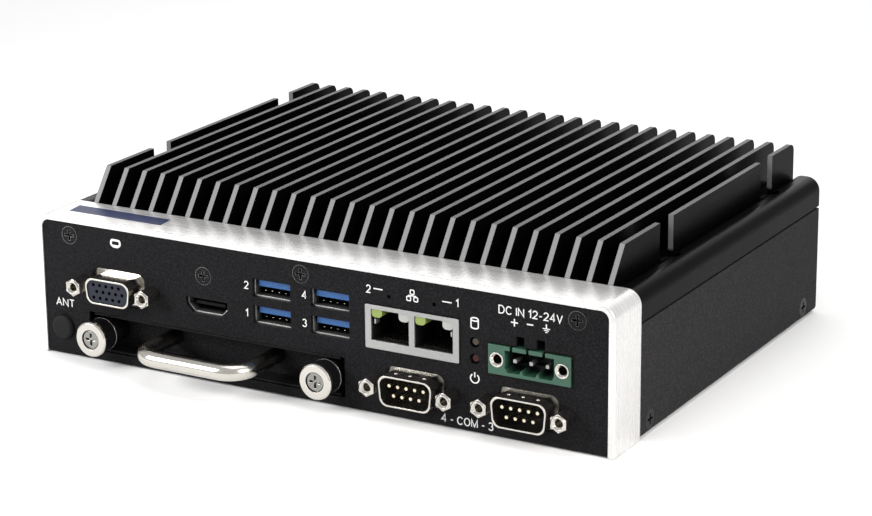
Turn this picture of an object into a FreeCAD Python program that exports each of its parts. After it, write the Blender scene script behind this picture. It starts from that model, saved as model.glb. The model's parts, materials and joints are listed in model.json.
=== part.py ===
# Fanless industrial PC: finned heatsink top, folded steel case, silver front bezel, removable drive tray.
# Frame: X right along the front panel, Y towards the rear, Z up, in millimetres. The origin is the
# centre of the case on the plane that it stands on; the front panel faces -Y.
import FreeCAD, Part
import math
import os
import Sketcher

Vector = FreeCAD.Vector

# ---------------------------------------------------------------- driving dimensions
SIZES = {
    # case
    "caseWidth": 194.0, "caseDepth": 145.0, "sheet": 1.2, "coverSheet": 1.5, "bendRadius": 2.0,
    "bezelSide": 1.9, "bezelCap": 1.8, "panelFoot": 0.3, "panelCorner": 2.6, "panelReturn": 30.0,
    "rearReturn": 18.0, "panelEdge": 0.8, "railGap": 2.0, "insideBend": 0.7, "legClear": 10.0, "overrun": 1.0,
    "bezelTop": 44.0, "bezelDepth": 16.2, "bezelProud": 0.4, "bezelCorner": 4.5, "bezelEdge": 0.6,
    "looseFit": 0.1, "runFit": 0.05,
    "wallTop": 34.0, "railFlange": 11.0,
    # heatsink
    "grooveHigh": 0.7, "grooveDeep": 0.8, "plateUnder": 35.6, "channelFloor": 40.2,
    "beadTop": 43.7, "beadWidth": 9.0, "beadOuter": 4.2, "beadInner": 3.2, "footWidth": 13.0,
    "finTop": 53.8, "finThick": 1.6, "finCount": 27, "finSlant": 7.4, "finFootTop": 43.9, "finRear": 2.5,
    "notchLength": 9.0, "notchFront": 51.3, "notchRear": 123.3, "notchSlack": 0.4, "finBack": 0.5,
    # screws
    "capHead": 5.6, "capHeadHigh": 1.8, "capSeat": 6.2, "capInset": 7.8, "screwShank": 3.0,
    "flatHead": 5.8, "sideHead": 6.4, "flatHeadHigh": 1.1, "headSlack": 0.15,
    "headSunk": 0.1, "flatShank": 6.0,
    "crossArm": 1.65, "crossHalf": 0.36, "crossDeep": 0.9, "tapDeep": 8.0,
    "sideScrewUp": 4.2, "sideScrewFront": 23.0, "sideScrewRear": 10.3,
    "screwHigh": 38.2, "screwFar": 85.4, "screwMid": 3.4, "screwBracketX": 37.2, "screwBracketZ": 32.5,
    # boards
    "board": 1.6, "boardCorner": 2.0, "boardTop": 18.6, "boardSide": 7.0, "boardBack": 3.4, "boardRear": 9.6,
    "serialTop": 4.35, "serialDepth": 24.0, "standoffFlats": 5.0,
    "standoffInset": 10.0, "standoffAlong": 26.0,
    # D-shaped connectors
    "jackPitch": 24.99, "dFlangeWidth": 30.8, "dFlangeHigh": 12.5, "dFlangeThick": 0.8, "dWall": 0.45,
    "plugWidth": 17.7, "plugHigh": 9.1, "socketWidth": 16.3, "socketHigh": 7.9, "dProud": 5.9,
    "dFlangeCorner": 1.0, "dBodyGap": 0.4, "dBodyInset": 1.6, "dFloor": 0.4,
    "dSetBack": 0.4, "dBoreDeep": 5.0,
    "dPin": 0.5, "dPinSlip": 0.02, "dPinBack": 1.0, "dPinTail": 4.0,
    "fifteenHole": 0.55, "fifteenShift": 0.25,
    "dTaper": 1.6, "dCorner": 2.5, "dCutGap": 0.9, "dDepth": 11.0, "hexFlats": 4.8, "jackProud": 6.4,
    "jackBore": 2.9, "jackHoleGap": 0.2, "jackSlip": 0.15, "jackWall": 0.35,
    "jackTail": 2.0, "jackBoreStop": 0.5, "jackNose": 0.4, "jackSink": 0.6,
    "ninePitch": 2.77, "nineRow": 2.84, "fifteenPitch": 2.29, "fifteenRow": 1.98,
    "displayX": -67.9, "displayZ": 24.1, "comFourX": 34.15, "comThreeX": 70.3, "comZ": 9.85,
    "comOneX": -30.0, "comTwoX": 14.0, "rearComZ": 24.9,
    # video, serial bus and network sockets
    "videoX": -36.2, "videoZ": 23.1, "videoWidth": 14.6, "videoHigh": 4.7, "videoCorner": 2.4,
    "videoWall": 0.35, "videoDepth": 11.0, "videoMouthDeep": 9.5, "videoFoot": 8.0, "footBack": 3.0,
    "videoTongueWide": 10.2, "videoTongueThick": 0.9, "videoTongueRise": 0.4, "videoTongueBack": 1.0,
    "busLeftX": -13.45, "busRightX": 6.35, "busLowZ": 23.6, "busPitch": 8.15, "busWidth": 12.3,
    "busHigh": 4.9, "busWall": 0.4, "busDepth": 16.0, "busCutGap": 0.35, "portCorner": 0.3,
    "busMouthDeep": 11.0, "busPlug": 2.0, "busTongueBack": 0.8, "busTongueRise": 1.0, "busTongueWide": 11.1,
    "busTongueThick": 1.8,
    "lanX": 33.55, "lanZ": 26.35, "lanWidth": 30.4, "lanHigh": 13.0, "lanPitch": 14.2, "lanMouthWidth": 12.4,
    "lanMouthHigh": 9.3, "lanDepth": 21.0, "lanProud": 0.4, "lanLedWidth": 3.4, "lanLedHigh": 2.4,
    "lanLedBack": 0.3, "lanCorner": 0.4, "lanFootInset": 2.0, "lanFootShort": 6.0, "lanMouthRise": 0.6,
    "lanMouthDeep": 15.0, "lanPlug": 3.0, "lanLinerWall": 0.2, "lanLinerBack": 0.6,
    # power terminal
    "termX": 71.1, "termZ": 23.2, "termWidth": 25.6, "termHigh": 8.6, "termProud": 0.8, "termDepth": 12.0,
    "termPitch": 5.08, "termMouthWidth": 15.4, "termMouthHigh": 5.4, "termPin": 1.0, "termNut": 4.3,
    "termNutSpread": 20.32, "termNutBore": 2.5, "keyWidth": 2.6, "keyHigh": 3.0, "keySpread": 6.4,
    "termMouthRise": 0.4, "termBackWall": 2.0, "termPinBack": 0.4, "termNutDeep": 6.0, "termNutProud": 0.2,
    "termNutSink": 0.5,
    "scallopGap": 0.2, "scallopDeep": 1.1, "scallopCorner": 1.0, "scallopLap": 0.5, "scallopShort": 5.0,
    "termNotchLeft": 0.6, "termNotchWide": 0.9, "termNotchHigh": 1.3, "termNotchDeep": 3.0,
    # lamps and blanks
    "lampX": 53.5, "lampHighZ": 26.8, "lampLowZ": 21.9, "lampRadius": 1.5, "lampDeep": 0.7,
    "lampLong": 5.0, "lampDome": 0.7,
    "pinholeSpread": 14.7, "pinholeX": 33.35, "pinholeZ": 35.9, "pinholeRadius": 0.6,
    "blankX": -88.9, "blankZ": 8.7, "blankRadius": 3.9, "blankHole": 3.2, "blankDome": 1.4,
    "blankRim": 0.2, "blankTail": 3.0,
    # drive bay
    "bayX": -34.1, "bayWidth": 90.2, "bayZ": 9.1, "bayHigh": 12.2, "bayDoorDeep": 7.0, "bayGap": 0.3,
    "bayCorner": 0.5, "lipThick": 0.6, "lipBack": 0.3, "lipInset": 1.5,
    "trayWidth": 72.8, "trayDepth": 112.0, "traySheet": 1.0, "trayWallHigh": 8.2,
    "driveWidth": 69.85, "driveDepth": 100.2, "driveHigh": 7.0, "driveCorner": 0.6, "driveBack": 3.0,
    "driveMouthX": 8.0, "driveMouthZ": 3.2, "driveMouthWide": 33.4,
    "driveMouthHigh": 3.4, "driveMouthDeep": 5.0,
    "plugGap": 1.0, "plugWide": 40.0, "plugThick": 5.0, "plugBlade": 1.2, "plugReach": 5.0,
    "guideWall": 1.0, "guideHigh": 10.6, "guideBack": 13.0, "guideLedge": 4.0, "guideTab": 9.2,
    "guideTabAbove": 5.0, "guideShort": 8.0, "guideTabThick": 2.0,
    "knobZ": 9.15, "knobRadius": 5.4, "knobLong": 1.4, "knobFront": 7.6, "knobSpread": 79.0,
    "thumbShank": 1.5, "thumbReach": 12.0, "knobRecess": 3.05, "knobRecessDeep": 0.35,
    "knobGroove": 0.35, "knobGrooveDeep": 1.0, "knobBevel": 0.4,
    "knobCrossArm": 1.9, "knobCrossHalf": 0.4, "knobCrossDeep": 0.8,
    "ferruleGap": 0.2, "ferruleRadius": 5.1, "ferruleBack": 1.0, "ferruleNeck": 4.2,
    "handleZ": 9.7, "handleSpread": 36.0, "handleRod": 2.5, "handleOut": 14.2, "handleBend": 7.0,
    # inside parts
    "socketSide": 32.0, "spreaderSide": 40.0, "packageHigh": 2.4, "packageX": -20.0, "packageY": 8.0,
    "pedestalInset": 6.0, "pedestalCorner": 1.0, "pedestalHigh": 3.0, "spreaderCorner": 3.0,
    "memoryX": 42.0, "memoryY": 2.0, "memoryLong": 69.6, "memoryWide": 30.0,
    "memoryRim": 3.0, "memoryBase": 6.0,
    "memoryArm": 1.6, "memoryArmGap": 0.4, "memoryHigh": 4.0, "memoryRise": 2.4, "memorySlot": 1.1,
    "memorySlotDeep": 3.6, "memoryCard": 1.0, "chipPitch": 14.0, "chipOut": 16.0, "chipWide": 9.0,
    "chipDeep": 11.0, "chipHigh": 1.0,
    "coinX": 64.0, "coinY": 46.0, "coinRadius": 10.0, "coinHigh": 3.2, "coinRim": 1.6, "coinHolderHigh": 5.0,
    "coinSunk": 0.6, "serialMargin": 18.0, "headerBack": 4.0, "headerWide": 30.0, "headerThick": 5.0,
    # rear button
    "buttonX": 58.0, "buttonZ": 10.0, "buttonRadius": 3.6, "buttonTravel": 1.2, "buttonProud": 2.0,
    "buttonBezel": 5.6, "buttonBody": 9.0, "buttonCollar": 1.2, "buttonWall": 1.0, "buttonFloor": 1.5,
    "buttonSlack": 0.3, "rearInset": 0.6, "rearBlankX": -80.0,
    # mounting
    "mountSpacing": 75.0, "mountHole": 1.65, "mountNut": 3.6, "mountNutHigh": 1.2,
}


class Size:
    """A length that carries both its value and the sheet formula that drives it."""

    def __init__(self, value, text):
        self.value = float(value)
        self.text = text

    def __add__(self, other):
        other = size(other)
        return Size(self.value + other.value, f"({self.text} + {other.text})")

    def __sub__(self, other):
        other = size(other)
        return Size(self.value - other.value, f"({self.text} - {other.text})")

    def __mul__(self, other):
        other = size(other)
        return Size(self.value * other.value, f"({self.text} * {other.text})")

    def __truediv__(self, other):
        other = size(other)
        return Size(self.value / other.value, f"({self.text} / {other.text})")

    def __neg__(self):
        return Size(-self.value, f"(0 - {self.text})")

    def __radd__(self, other):
        return size(other) + self

    def __rsub__(self, other):
        return size(other) - self

    def __rmul__(self, other):
        return size(other) * self


def size(number):
    return number if isinstance(number, Size) else Size(number, f"({float(number):g})")


doc = FreeCAD.newDocument("IndustrialPc")
sheet = doc.addObject("Spreadsheet::Sheet", "Sizes")
for row, (alias, number) in enumerate(SIZES.items(), start=1):
    sheet.set(f"A{row}", alias)
    sheet.set(f"B{row}", str(number))
    sheet.setAlias(f"B{row}", alias)
doc.recompute()


class Sheet:
    """Reads a cell by its alias: d.caseWidth is a Size bound to that cell."""

    def __getattr__(self, alias):
        return Size(SIZES[alias], f"Sizes.{alias}")


d = Sheet()
pieces = {}
rules = {}


# ---------------------------------------------------------------- modelling helpers
def bind(target, path, length):
    length = size(length)
    target.setExpression(path, length.text)


VIEWS = {"front": "XZ_Plane", "top": "XY_Plane", "side": "YZ_Plane"}


def body(name):
    piece = doc.addObject("PartDesign::Body", name)
    piece.Label = name
    if hasattr(piece, "AllowCompound"):
        piece.AllowCompound = True
    pieces[name] = piece
    return piece


def sketch(piece, view, at=0):
    """A sketch on one of the body's origin planes, moved along that plane's axis to 'at'."""
    drawing = piece.newObject("Sketcher::SketchObject", piece.Name + "Sketch")
    plane = [p for p in piece.Origin.OriginFeatures if p.Role == VIEWS[view]][0]
    drawing.AttachmentSupport = [(plane, "")]
    drawing.MapMode = "FlatFace"
    offset = -size(at) if view == "front" else size(at)
    bind(drawing, "AttachmentOffset.Base.z", offset)
    drawing.addProperty("App::PropertyString", "View", "Sketch", "view it is drawn in")
    drawing.View = view
    rules[drawing.Name] = []
    return drawing


def rule(drawing, *terms, length=None):
    """Notes one constraint of a sketch, driven by a length where one is given."""
    if length is None:
        rules[drawing.Name].append((Sketcher.Constraint(*terms), None))
    else:
        rules[drawing.Name].append((Sketcher.Constraint(*terms, length.value), length.text))


def settle(drawing):
    """Adds a sketch's noted constraints in one go and binds the driven ones."""
    noted = rules.pop(drawing.Name)
    drawing.addConstraint([constraint for constraint, _ in noted])
    for index, (_, text) in enumerate(noted):
        if text:
            drawing.setExpression(f"Constraints[{index}]", text)


def pin(drawing, geometry, point, x, y):
    """Fixes a sketch point at x, y from the origin."""
    rule(drawing, "DistanceX", -1, 1, geometry, point, length=size(x))
    rule(drawing, "DistanceY", -1, 1, geometry, point, length=size(y))


def polygon(drawing, corners):
    """A closed outline. A corner is (x, y), or (x, y, radius) where it is rounded."""
    corners = [tuple(size(c) for c in corner) for corner in corners]
    count = len(corners)
    points = [Vector(c[0].value, c[1].value, 0) for c in corners]
    starts, ends, arcs = list(points), list(points), {}
    for i, corner in enumerate(corners):
        if len(corner) < 3 or corner[2].value <= 0:
            continue
        before = (points[i - 1] - points[i]).normalize()
        after = (points[(i + 1) % count] - points[i]).normalize()
        half = before.getAngle(after) / 2
        radius = corner[2].value
        reach = radius / math.tan(half)
        ends[i] = points[i] + before * reach
        starts[i] = points[i] + after * reach
        middle = (before + after).normalize()
        centre = points[i] + middle * (radius / math.sin(half))
        arcs[i] = Part.Arc(ends[i], centre - middle * radius, starts[i])
    lines = [drawing.addGeometry(Part.LineSegment(starts[i], ends[(i + 1) % count]))
             for i in range(count)]
    for i, corner in enumerate(corners):
        line, previous = lines[i], lines[i - 1]
        if i not in arcs:
            rule(drawing, "Coincident", previous, 2, line, 1)
            pin(drawing, line, 1, corner[0], corner[1])
            continue
        arc = drawing.addGeometry(arcs[i])
        near = 1 if drawing.getPoint(arc, 1).distanceToPoint(ends[i]) < 1e-6 else 2
        rule(drawing, "Tangent", previous, 2, arc, near)
        rule(drawing, "Tangent", line, 1, arc, 3 - near)
        rule(drawing, "Radius", arc, length=corner[2])
        vertex = drawing.addGeometry(Part.Point(points[i]), True)
        rule(drawing, "PointOnObject", vertex, 1, previous)
        rule(drawing, "PointOnObject", vertex, 1, line)
        pin(drawing, vertex, 1, corner[0], corner[1])


def rectangle(drawing, x, y, width, height, radius=0):
    """A rectangle centred on x, y."""
    x, y, width, height = size(x), size(y), size(width), size(height)
    left, right, low, high = x - width / 2, x + width / 2, y - height / 2, y + height / 2
    polygon(drawing, [(left, low, radius), (right, low, radius), (right, high, radius), (left, high, radius)])


def hexagon(drawing, x, y, flats):
    """A hexagon with two flat sides at left and right."""
    x, y, flats = size(x), size(y), size(flats)
    point, half = flats / math.sqrt(3), flats / 2
    polygon(drawing, [(x, y - point), (x + half, y - point / 2), (x + half, y + point / 2),
                      (x, y + point), (x - half, y + point / 2), (x - half, y - point / 2)])


def circle(drawing, x, y, radius):
    x, y, radius = size(x), size(y), size(radius)
    ring = drawing.addGeometry(Part.Circle(Vector(x.value, y.value, 0), Vector(0, 0, 1), radius.value))
    pin(drawing, ring, 3, x, y)
    rule(drawing, "Radius", ring, length=radius)


def dOutline(drawing, x, y, width, height):
    """The D of a D-shaped connector: wide at the top, sides drawn in towards the foot."""
    x, y, width, height = size(x), size(y), size(width), size(height)
    top, foot, half = width / 2, width / 2 - d.dTaper / 2, height / 2
    r = d.dCorner
    polygon(drawing, [(x - foot, y - half, r), (x + foot, y - half, r), (x + top, y + half, r),
                      (x - top, y + half, r)])


def feature(piece, kind, drawing, length, forward, taper=0):
    """A pad or pocket of a sketch; forward is True where it runs along the view's + axis."""
    settle(drawing)
    before = piece.Shape.Volume if piece.Tip else 0
    step = piece.newObject("PartDesign::" + kind, piece.Name + kind)
    step.Profile = drawing
    bind(step, "Length", length)
    alongNormal = forward != (drawing.View == "front")
    step.Reversed = alongNormal == (kind == "Pocket")
    if taper:
        step.TaperAngle = taper
    drawing.Visibility = False
    doc.recompute()
    after = piece.Shape.Volume
    grown = after - before
    if abs(grown) < 1e-6 or (grown > 0) != (kind == "Pad"):
        raise RuntimeError(f"{step.Name} changed the volume by {grown:.4f}")
    return step


def pad(piece, drawing, length, forward=True, taper=0):
    return feature(piece, "Pad", drawing, length, forward, taper)


def pocket(piece, drawing, length, forward=True, taper=0):
    return feature(piece, "Pocket", drawing, length, forward, taper)


def block(name, x, y, z):
    """A plain box between two limits on each axis."""
    box = doc.addObject("Part::Box", name)
    box.Label = name
    for limits, side, axis in ((x, "Length", "x"), (y, "Width", "y"), (z, "Height", "z")):
        low, high = size(limits[0]), size(limits[1])
        bind(box, side, high - low)
        bind(box, f"Placement.Base.{axis}", low)
    pieces[name] = box


def roundEdges(piece, radius, wanted):
    """Rounds the edges of the tip that 'wanted' picks."""
    base = piece.Tip
    names = [f"Edge{i}" for i, edge in enumerate(base.Shape.Edges, start=1) if wanted(edge)]
    step = piece.newObject("PartDesign::Fillet", piece.Name + "Fillet")
    step.Base = (base, names)
    bind(step, "Radius", radius)
    doc.recompute()
    return step


def flatAt(edge, axis, place):
    """True where every point of an edge lies on the plane axis = place."""
    place = size(place).value
    return all(abs(getattr(point, axis) - place) < 1e-4 for point in edge.discretize(5))


# ---------------------------------------------------------------- places shared by the pieces
yFront = -d.caseDepth / 2
yRear = d.caseDepth / 2
panelBack = yFront + d.sheet
xWall = d.caseWidth / 2
xPanel = xWall - d.bezelSide
panelTop = d.bezelTop - d.bezelCap
yShoulder = yFront + d.bezelDepth
rearFace = yRear - d.rearInset
rearInner = rearFace - d.sheet
finOuter = xWall - d.beadWidth
finPitch = (2 * finOuter - d.finThick) / (d.finCount - 1)
boardUnder = d.boardTop - d.board
boardHalf = xWall - d.boardSide
boardFront, boardEnd = yFront + d.boardBack, yRear - d.boardRear
standoffPlaces = [(x, y) for x in (d.standoffInset - boardHalf, boardHalf - d.standoffInset)
                  for y in (boardFront + d.standoffAlong, boardEnd - d.standoffAlong)]
bayLow = d.bayZ - d.bayHigh / 2
doorFace = yFront + d.bayDoorDeep
trayFloor = bayLow + d.bayGap + d.traySheet
driveFront = doorFace + d.traySheet + d.driveBack
notchPlaces = (yFront + d.notchFront, yFront + d.notchRear)
capX = xWall - d.capInset
sideScrewPlaces = (yFront + d.sideScrewFront, yRear - d.sideScrewRear)
busPorts = [(x, z) for x in (d.busLeftX, d.busRightX) for z in (d.busLowZ, d.busLowZ + d.busPitch)]
panelScrews = [(-d.screwFar, d.screwHigh), (-d.screwMid, d.screwHigh), (d.screwFar, d.screwHigh),
               (-d.screwBracketX, d.screwBracketZ)]
knobPlaces = {"left_thumbscrew": d.bayX - d.knobSpread / 2, "right_thumbscrew": d.bayX + d.knobSpread / 2}
mountPlaces = [(a * d.mountSpacing / 2, b * d.mountSpacing / 2) for a in (-1, 1) for b in (-1, 1)]
frontDSockets = {"display": (d.displayX, d.displayZ), "com4": (d.comFourX, d.comZ),
                 "com3": (d.comThreeX, d.comZ)}
rearDSockets = {"com1": (d.comOneX, d.rearComZ), "com2": (d.comTwoX, d.rearComZ)}


# ---------------------------------------------------------------- case
def heatsinkCover():
    """Extruded aluminium top: a plate with a rounded bead along each side and upright fins."""
    piece = body("heatsink_cover")
    section = sketch(piece, "front", panelBack)
    inside = xWall - d.footWidth
    side = [(xWall - d.grooveDeep, d.wallTop), (xWall - d.grooveDeep, d.wallTop + d.grooveHigh),
            (xWall, d.wallTop + d.grooveHigh), (xWall, d.beadTop, d.beadOuter),
            (finOuter, d.beadTop, d.beadInner), (finOuter, d.channelFloor)]
    mirrored = [(-corner[0],) + tuple(corner[1:]) for corner in reversed(side)]
    polygon(section, side + mirrored + [(-inside, d.wallTop), (-inside, d.plateUnder),
                                        (inside, d.plateUnder), (inside, d.wallTop)])
    pad(piece, section, yRear - panelBack)
    # front machined back so that the bezel wraps it
    step = sketch(piece, "front", panelBack)
    side, top, r = xPanel - d.looseFit, panelTop - d.looseFit, d.panelCorner
    beyond, above, below = xWall + d.overrun, d.beadTop + d.overrun, d.wallTop - d.overrun
    polygon(step, [(-beyond, below), (-side, below), (-side, top, r), (side, top, r), (side, below),
                   (beyond, below), (beyond, above), (-beyond, above)])
    pocket(piece, step, yShoulder + d.looseFit - panelBack)
    # one fin, cut back at a slant in front and rounded behind, then repeated across
    profile = sketch(piece, "side", -finOuter)
    foot = yShoulder + d.finBack
    polygon(profile, [(foot, d.channelFloor), (yRear, d.channelFloor), (yRear, d.finTop, d.finRear),
                      (foot + d.finSlant, d.finTop), (foot, d.finFootTop)])
    fin = pad(piece, profile, d.finThick)
    row = piece.newObject("PartDesign::LinearPattern", "finRow")
    row.Originals = [fin]
    row.Direction = ([p for p in piece.Origin.OriginFeatures if p.Role == "X_Axis"][0], [""])
    bind(row, "Length", finPitch * (d.finCount - 1))
    bind(row, "Occurrences", d.finCount)
    piece.Tip = row
    doc.recompute()
    # the outer fins are notched for the cap screws, which sit in round seats
    above = d.finTop + d.overrun
    notches, seats, bores = (sketch(piece, "top", above) for _ in range(3))
    for place in notchPlaces:
        for direction in (-1, 1):
            rectangle(notches, direction * (finOuter - d.finThick / 2), place, d.finThick + d.notchSlack,
                      d.notchLength)
    pocket(piece, notches, above - d.channelFloor, forward=False)
    for place in notchPlaces:
        for direction in (-1, 1):
            circle(seats, direction * capX, place, d.capSeat / 2)
            circle(bores, direction * capX, place, d.screwShank / 2 + d.runFit)
    pocket(piece, seats, above - d.channelFloor, forward=False)
    pocket(piece, bores, above, forward=False)
    # blind holes for the panel screws
    tapped = sketch(piece, "front", panelBack)
    for x, z in panelScrews[:3]:
        circle(tapped, x, z, d.screwShank / 2 + d.runFit)
    pocket(piece, tapped, d.tapDeep)


def frontBezel():
    """Silver band round the top and sides of the front, its rim a little proud of the panel."""
    piece = body("front_bezel")
    band = sketch(piece, "front", yFront - d.bezelProud)
    inner = xPanel + d.looseFit
    innerTop = panelTop + d.looseFit
    r, corner = d.panelCorner, d.bezelCorner
    polygon(band, [(-xWall, 0), (-inner, 0), (-inner, innerTop, r), (inner, innerTop, r), (inner, 0),
                   (xWall, 0), (xWall, d.bezelTop, corner), (-xWall, d.bezelTop, corner)])
    pad(piece, band, d.bezelDepth + d.bezelProud)
    front = yFront - d.bezelProud
    roundEdges(piece, d.bezelEdge, lambda edge: flatAt(edge, "y", front) and not flatAt(edge, "z", 0)
               and max(abs(p.x) for p in edge.discretize(3)) > xPanel.value + 0.5
               or flatAt(edge, "y", front) and flatAt(edge, "z", d.bezelTop))


def countersinks(piece, view, at, places, forward, through, head):
    """Cone seats for flat screws, right through a sheet."""
    hole = sketch(piece, view, at)
    cone = sketch(piece, view, at)
    for x, y in places:
        circle(hole, x, y, d.screwShank / 2 + d.runFit)
        circle(cone, x, y, head / 2)
    pocket(piece, hole, through, forward)
    pocket(piece, cone, through, forward, taper=-45)


def dCutOut(piece, at, x, z):
    """The opening for a D-shaped connector with a hole for each jackscrew, through a sheet."""
    holes = sketch(piece, "front", at)
    dOutline(holes, x, z, d.plugWidth + 2 * d.dCutGap, d.plugHigh + 2 * d.dCutGap)
    for direction in (-1, 1):
        circle(holes, x + direction * d.jackPitch / 2, z, d.jackBore / 2 + d.jackHoleGap)
    pocket(piece, holes, d.sheet)


def frontPanel():
    """Black steel panel with every port cut out of it, and returns folded back at three sides."""
    piece = body("front_panel")
    plate = sketch(piece, "front", yFront)
    r = d.panelCorner
    polygon(plate, [(-xPanel, d.panelFoot, d.panelEdge), (xPanel, d.panelFoot, d.panelEdge),
                    (xPanel, panelTop, r), (-xPanel, panelTop, r)])
    pad(piece, plate, d.sheet)
    returns = sketch(piece, "top", d.coverSheet + d.looseFit)
    for direction in (-1, 1):
        rectangle(returns, direction * (xPanel - d.sheet / 2), panelBack + d.panelReturn / 2, d.sheet,
                  d.panelReturn)
    pad(piece, returns, d.wallTop - d.looseFit - d.coverSheet - d.looseFit)
    for x, z in frontDSockets.values():
        dCutOut(piece, yFront, x, z)
    holes = sketch(piece, "front", yFront)
    high, low, cut = d.videoZ + d.videoHigh / 2, d.videoZ - d.videoHigh / 2, d.videoCorner
    left, right = d.videoX - d.videoWidth / 2, d.videoX + d.videoWidth / 2
    polygon(holes, [(left + cut, low), (right - cut, low), (right, low + cut), (right, high), (left, high),
                    (left, low + cut)])
    for x, z in busPorts:
        rectangle(holes, x, z, d.busWidth + 2 * d.busCutGap, d.busHigh + 2 * d.busCutGap, d.portCorner)
    pocket(piece, holes, d.sheet)
    holes = sketch(piece, "front", yFront)
    rectangle(holes, d.lanX, d.lanZ, d.lanWidth + 4 * d.looseFit, d.lanHigh + 4 * d.looseFit)
    for direction in (-1, 1):
        circle(holes, d.pinholeX + direction * d.pinholeSpread / 2, d.pinholeZ, d.pinholeRadius)
    for z in (d.lampHighZ, d.lampLowZ):
        circle(holes, d.lampX, z, d.lampRadius + d.looseFit)
    circle(holes, d.blankX, d.blankZ, d.blankHole)
    terminalCut(holes)
    rectangle(holes, d.bayX, d.bayZ, d.bayWidth, d.bayHigh, d.bayCorner)
    pocket(piece, holes, d.sheet)
    countersinks(piece, "front", yFront, panelScrews, True, d.sheet, d.flatHead)
    nuts = sketch(piece, "side", -xPanel)
    circle(nuts, sideScrewPlaces[0], d.sideScrewUp, d.screwShank / 2 + d.runFit)
    pocket(piece, nuts, 2 * xPanel)


def terminalCut(drawing):
    """The opening round the power header, with two keying slots at its top edge."""
    wide, high = d.termWidth / 2 + 2 * d.looseFit, d.termZ + d.termHigh / 2 + 2 * d.looseFit
    low = d.termZ - d.termHigh / 2 - 2 * d.looseFit
    outline = [(d.termX - wide, low), (d.termX + wide, low), (d.termX + wide, high)]
    for direction in (1, -1):
        middle = d.termX + direction * d.keySpread / 2
        outline += [(middle + d.keyWidth / 2, high), (middle + d.keyWidth / 2, high + d.keyHigh),
                    (middle - d.keyWidth / 2, high + d.keyHigh), (middle - d.keyWidth / 2, high)]
    polygon(drawing, outline + [(d.termX - wide, high)])


def rearPanel():
    piece = body("rear_panel")
    plate = sketch(piece, "front", rearInner)
    low, high = d.coverSheet + d.looseFit, d.wallTop - d.looseFit
    half = xPanel
    polygon(plate, [(-half, low), (half, low), (half, high), (-half, high)])
    pad(piece, plate, d.sheet)
    returns = sketch(piece, "top", low)
    for direction in (-1, 1):
        rectangle(returns, direction * (half - d.sheet / 2), rearInner - d.rearReturn / 2, d.sheet,
                  d.rearReturn)
    pad(piece, returns, high - low)
    for x, z in rearDSockets.values():
        dCutOut(piece, rearInner, x, z)
    holes = sketch(piece, "front", rearInner)
    circle(holes, d.buttonX, d.buttonZ, d.buttonRadius + d.buttonWall + d.looseFit)
    for direction in (-1, 1):
        circle(holes, direction * d.rearBlankX, d.buttonZ, d.blankHole)
    pocket(piece, holes, d.sheet)
    nuts = sketch(piece, "side", -half)
    circle(nuts, sideScrewPlaces[1], d.sideScrewUp, d.screwShank / 2 + d.runFit)
    pocket(piece, nuts, 2 * half)


def bottomCover():
    """Folded steel floor and side walls; its narrower front tongue lies between the bezel's legs."""
    piece = body("bottom_cover")
    section = sketch(piece, "front", panelBack)
    t, r = d.coverSheet, d.bendRadius
    polygon(section, [(-xWall, 0, r), (xWall, 0, r), (xWall, d.wallTop), (xWall - t, d.wallTop),
                      (xWall - t, t, d.insideBend), (t - xWall, t, d.insideBend), (t - xWall, d.wallTop),
                      (-xWall, d.wallTop)])
    pad(piece, section, yRear - panelBack)
    mouth = sketch(piece, "top", d.wallTop + d.overrun)
    inner, before = xPanel - d.looseFit, yFront - d.overrun
    for direction in (-1, 1):
        rectangle(mouth, direction * (inner + d.legClear / 2), (yShoulder + before) / 2, d.legClear,
                  yShoulder - before)
    pocket(piece, mouth, d.wallTop + 2 * d.overrun, forward=False)
    for direction in (-1, 1):
        countersinks(piece, "side", direction * xWall,
                     [(place, d.sideScrewUp) for place in sideScrewPlaces], direction < 0, d.coverSheet,
                     d.sideHead)
    holes = sketch(piece, "top", 0)
    for x, y in mountPlaces:
        circle(holes, x, y, d.mountHole)
    pocket(piece, holes, t)


def sideRail(name, direction):
    """Inner rail that carries the heatsink: an upright web with a flange under the heatsink's foot."""
    piece = body(name)
    front = yFront + d.panelReturn + d.railGap
    section = sketch(piece, "front", front)
    outer = xPanel - d.sheet - d.looseFit
    top, low, t = d.wallTop, d.coverSheet, d.sheet
    reach, foot = outer - d.railFlange, outer - d.railFlange / 2
    flange = [(outer - t, top - t), (reach, top - t), (reach, top), (outer, top), (outer, low), (foot, low),
              (foot, low + t), (outer - t, low + t)]
    polygon(section, [(direction * x, z) for x, z in flange])
    pad(piece, section, rearInner - d.rearReturn - d.railGap - front)
    holes = sketch(piece, "top", top)
    for place in notchPlaces:
        circle(holes, direction * capX, place, d.screwShank / 2 + d.runFit)
    pocket(piece, holes, t, forward=False)


# ---------------------------------------------------------------- screws
def flatScrews(name, head, groups):
    """Countersunk screws with a cross recess. A group is (view, face, forward, places)."""
    piece = body(name)
    for view, face, forward, places in groups:
        heads = sketch(piece, view, face)
        shanks = sketch(piece, view, face)
        cross = sketch(piece, view, face)
        for x, y in places:
            circle(heads, x, y, head / 2 - d.headSlack)
            circle(shanks, x, y, d.screwShank / 2)
            plus(cross, x, y, d.crossArm, d.crossHalf)
        pad(piece, heads, d.flatHeadHigh, forward, taper=-45)
        pad(piece, shanks, d.flatShank, forward)
        pocket(piece, cross, d.crossDeep, forward)


def plus(drawing, x, y, arm, half):
    """The outline of a cross recess."""
    x, y, arm, half = size(x), size(y), size(arm), size(half)
    steps = [(half, arm), (half, half), (arm, half), (arm, -half), (half, -half), (half, -arm), (-half, -arm),
             (-half, -half), (-arm, -half), (-arm, half), (-half, half), (-half, arm)]
    polygon(drawing, [(x + a, y + b) for a, b in steps])


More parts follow.
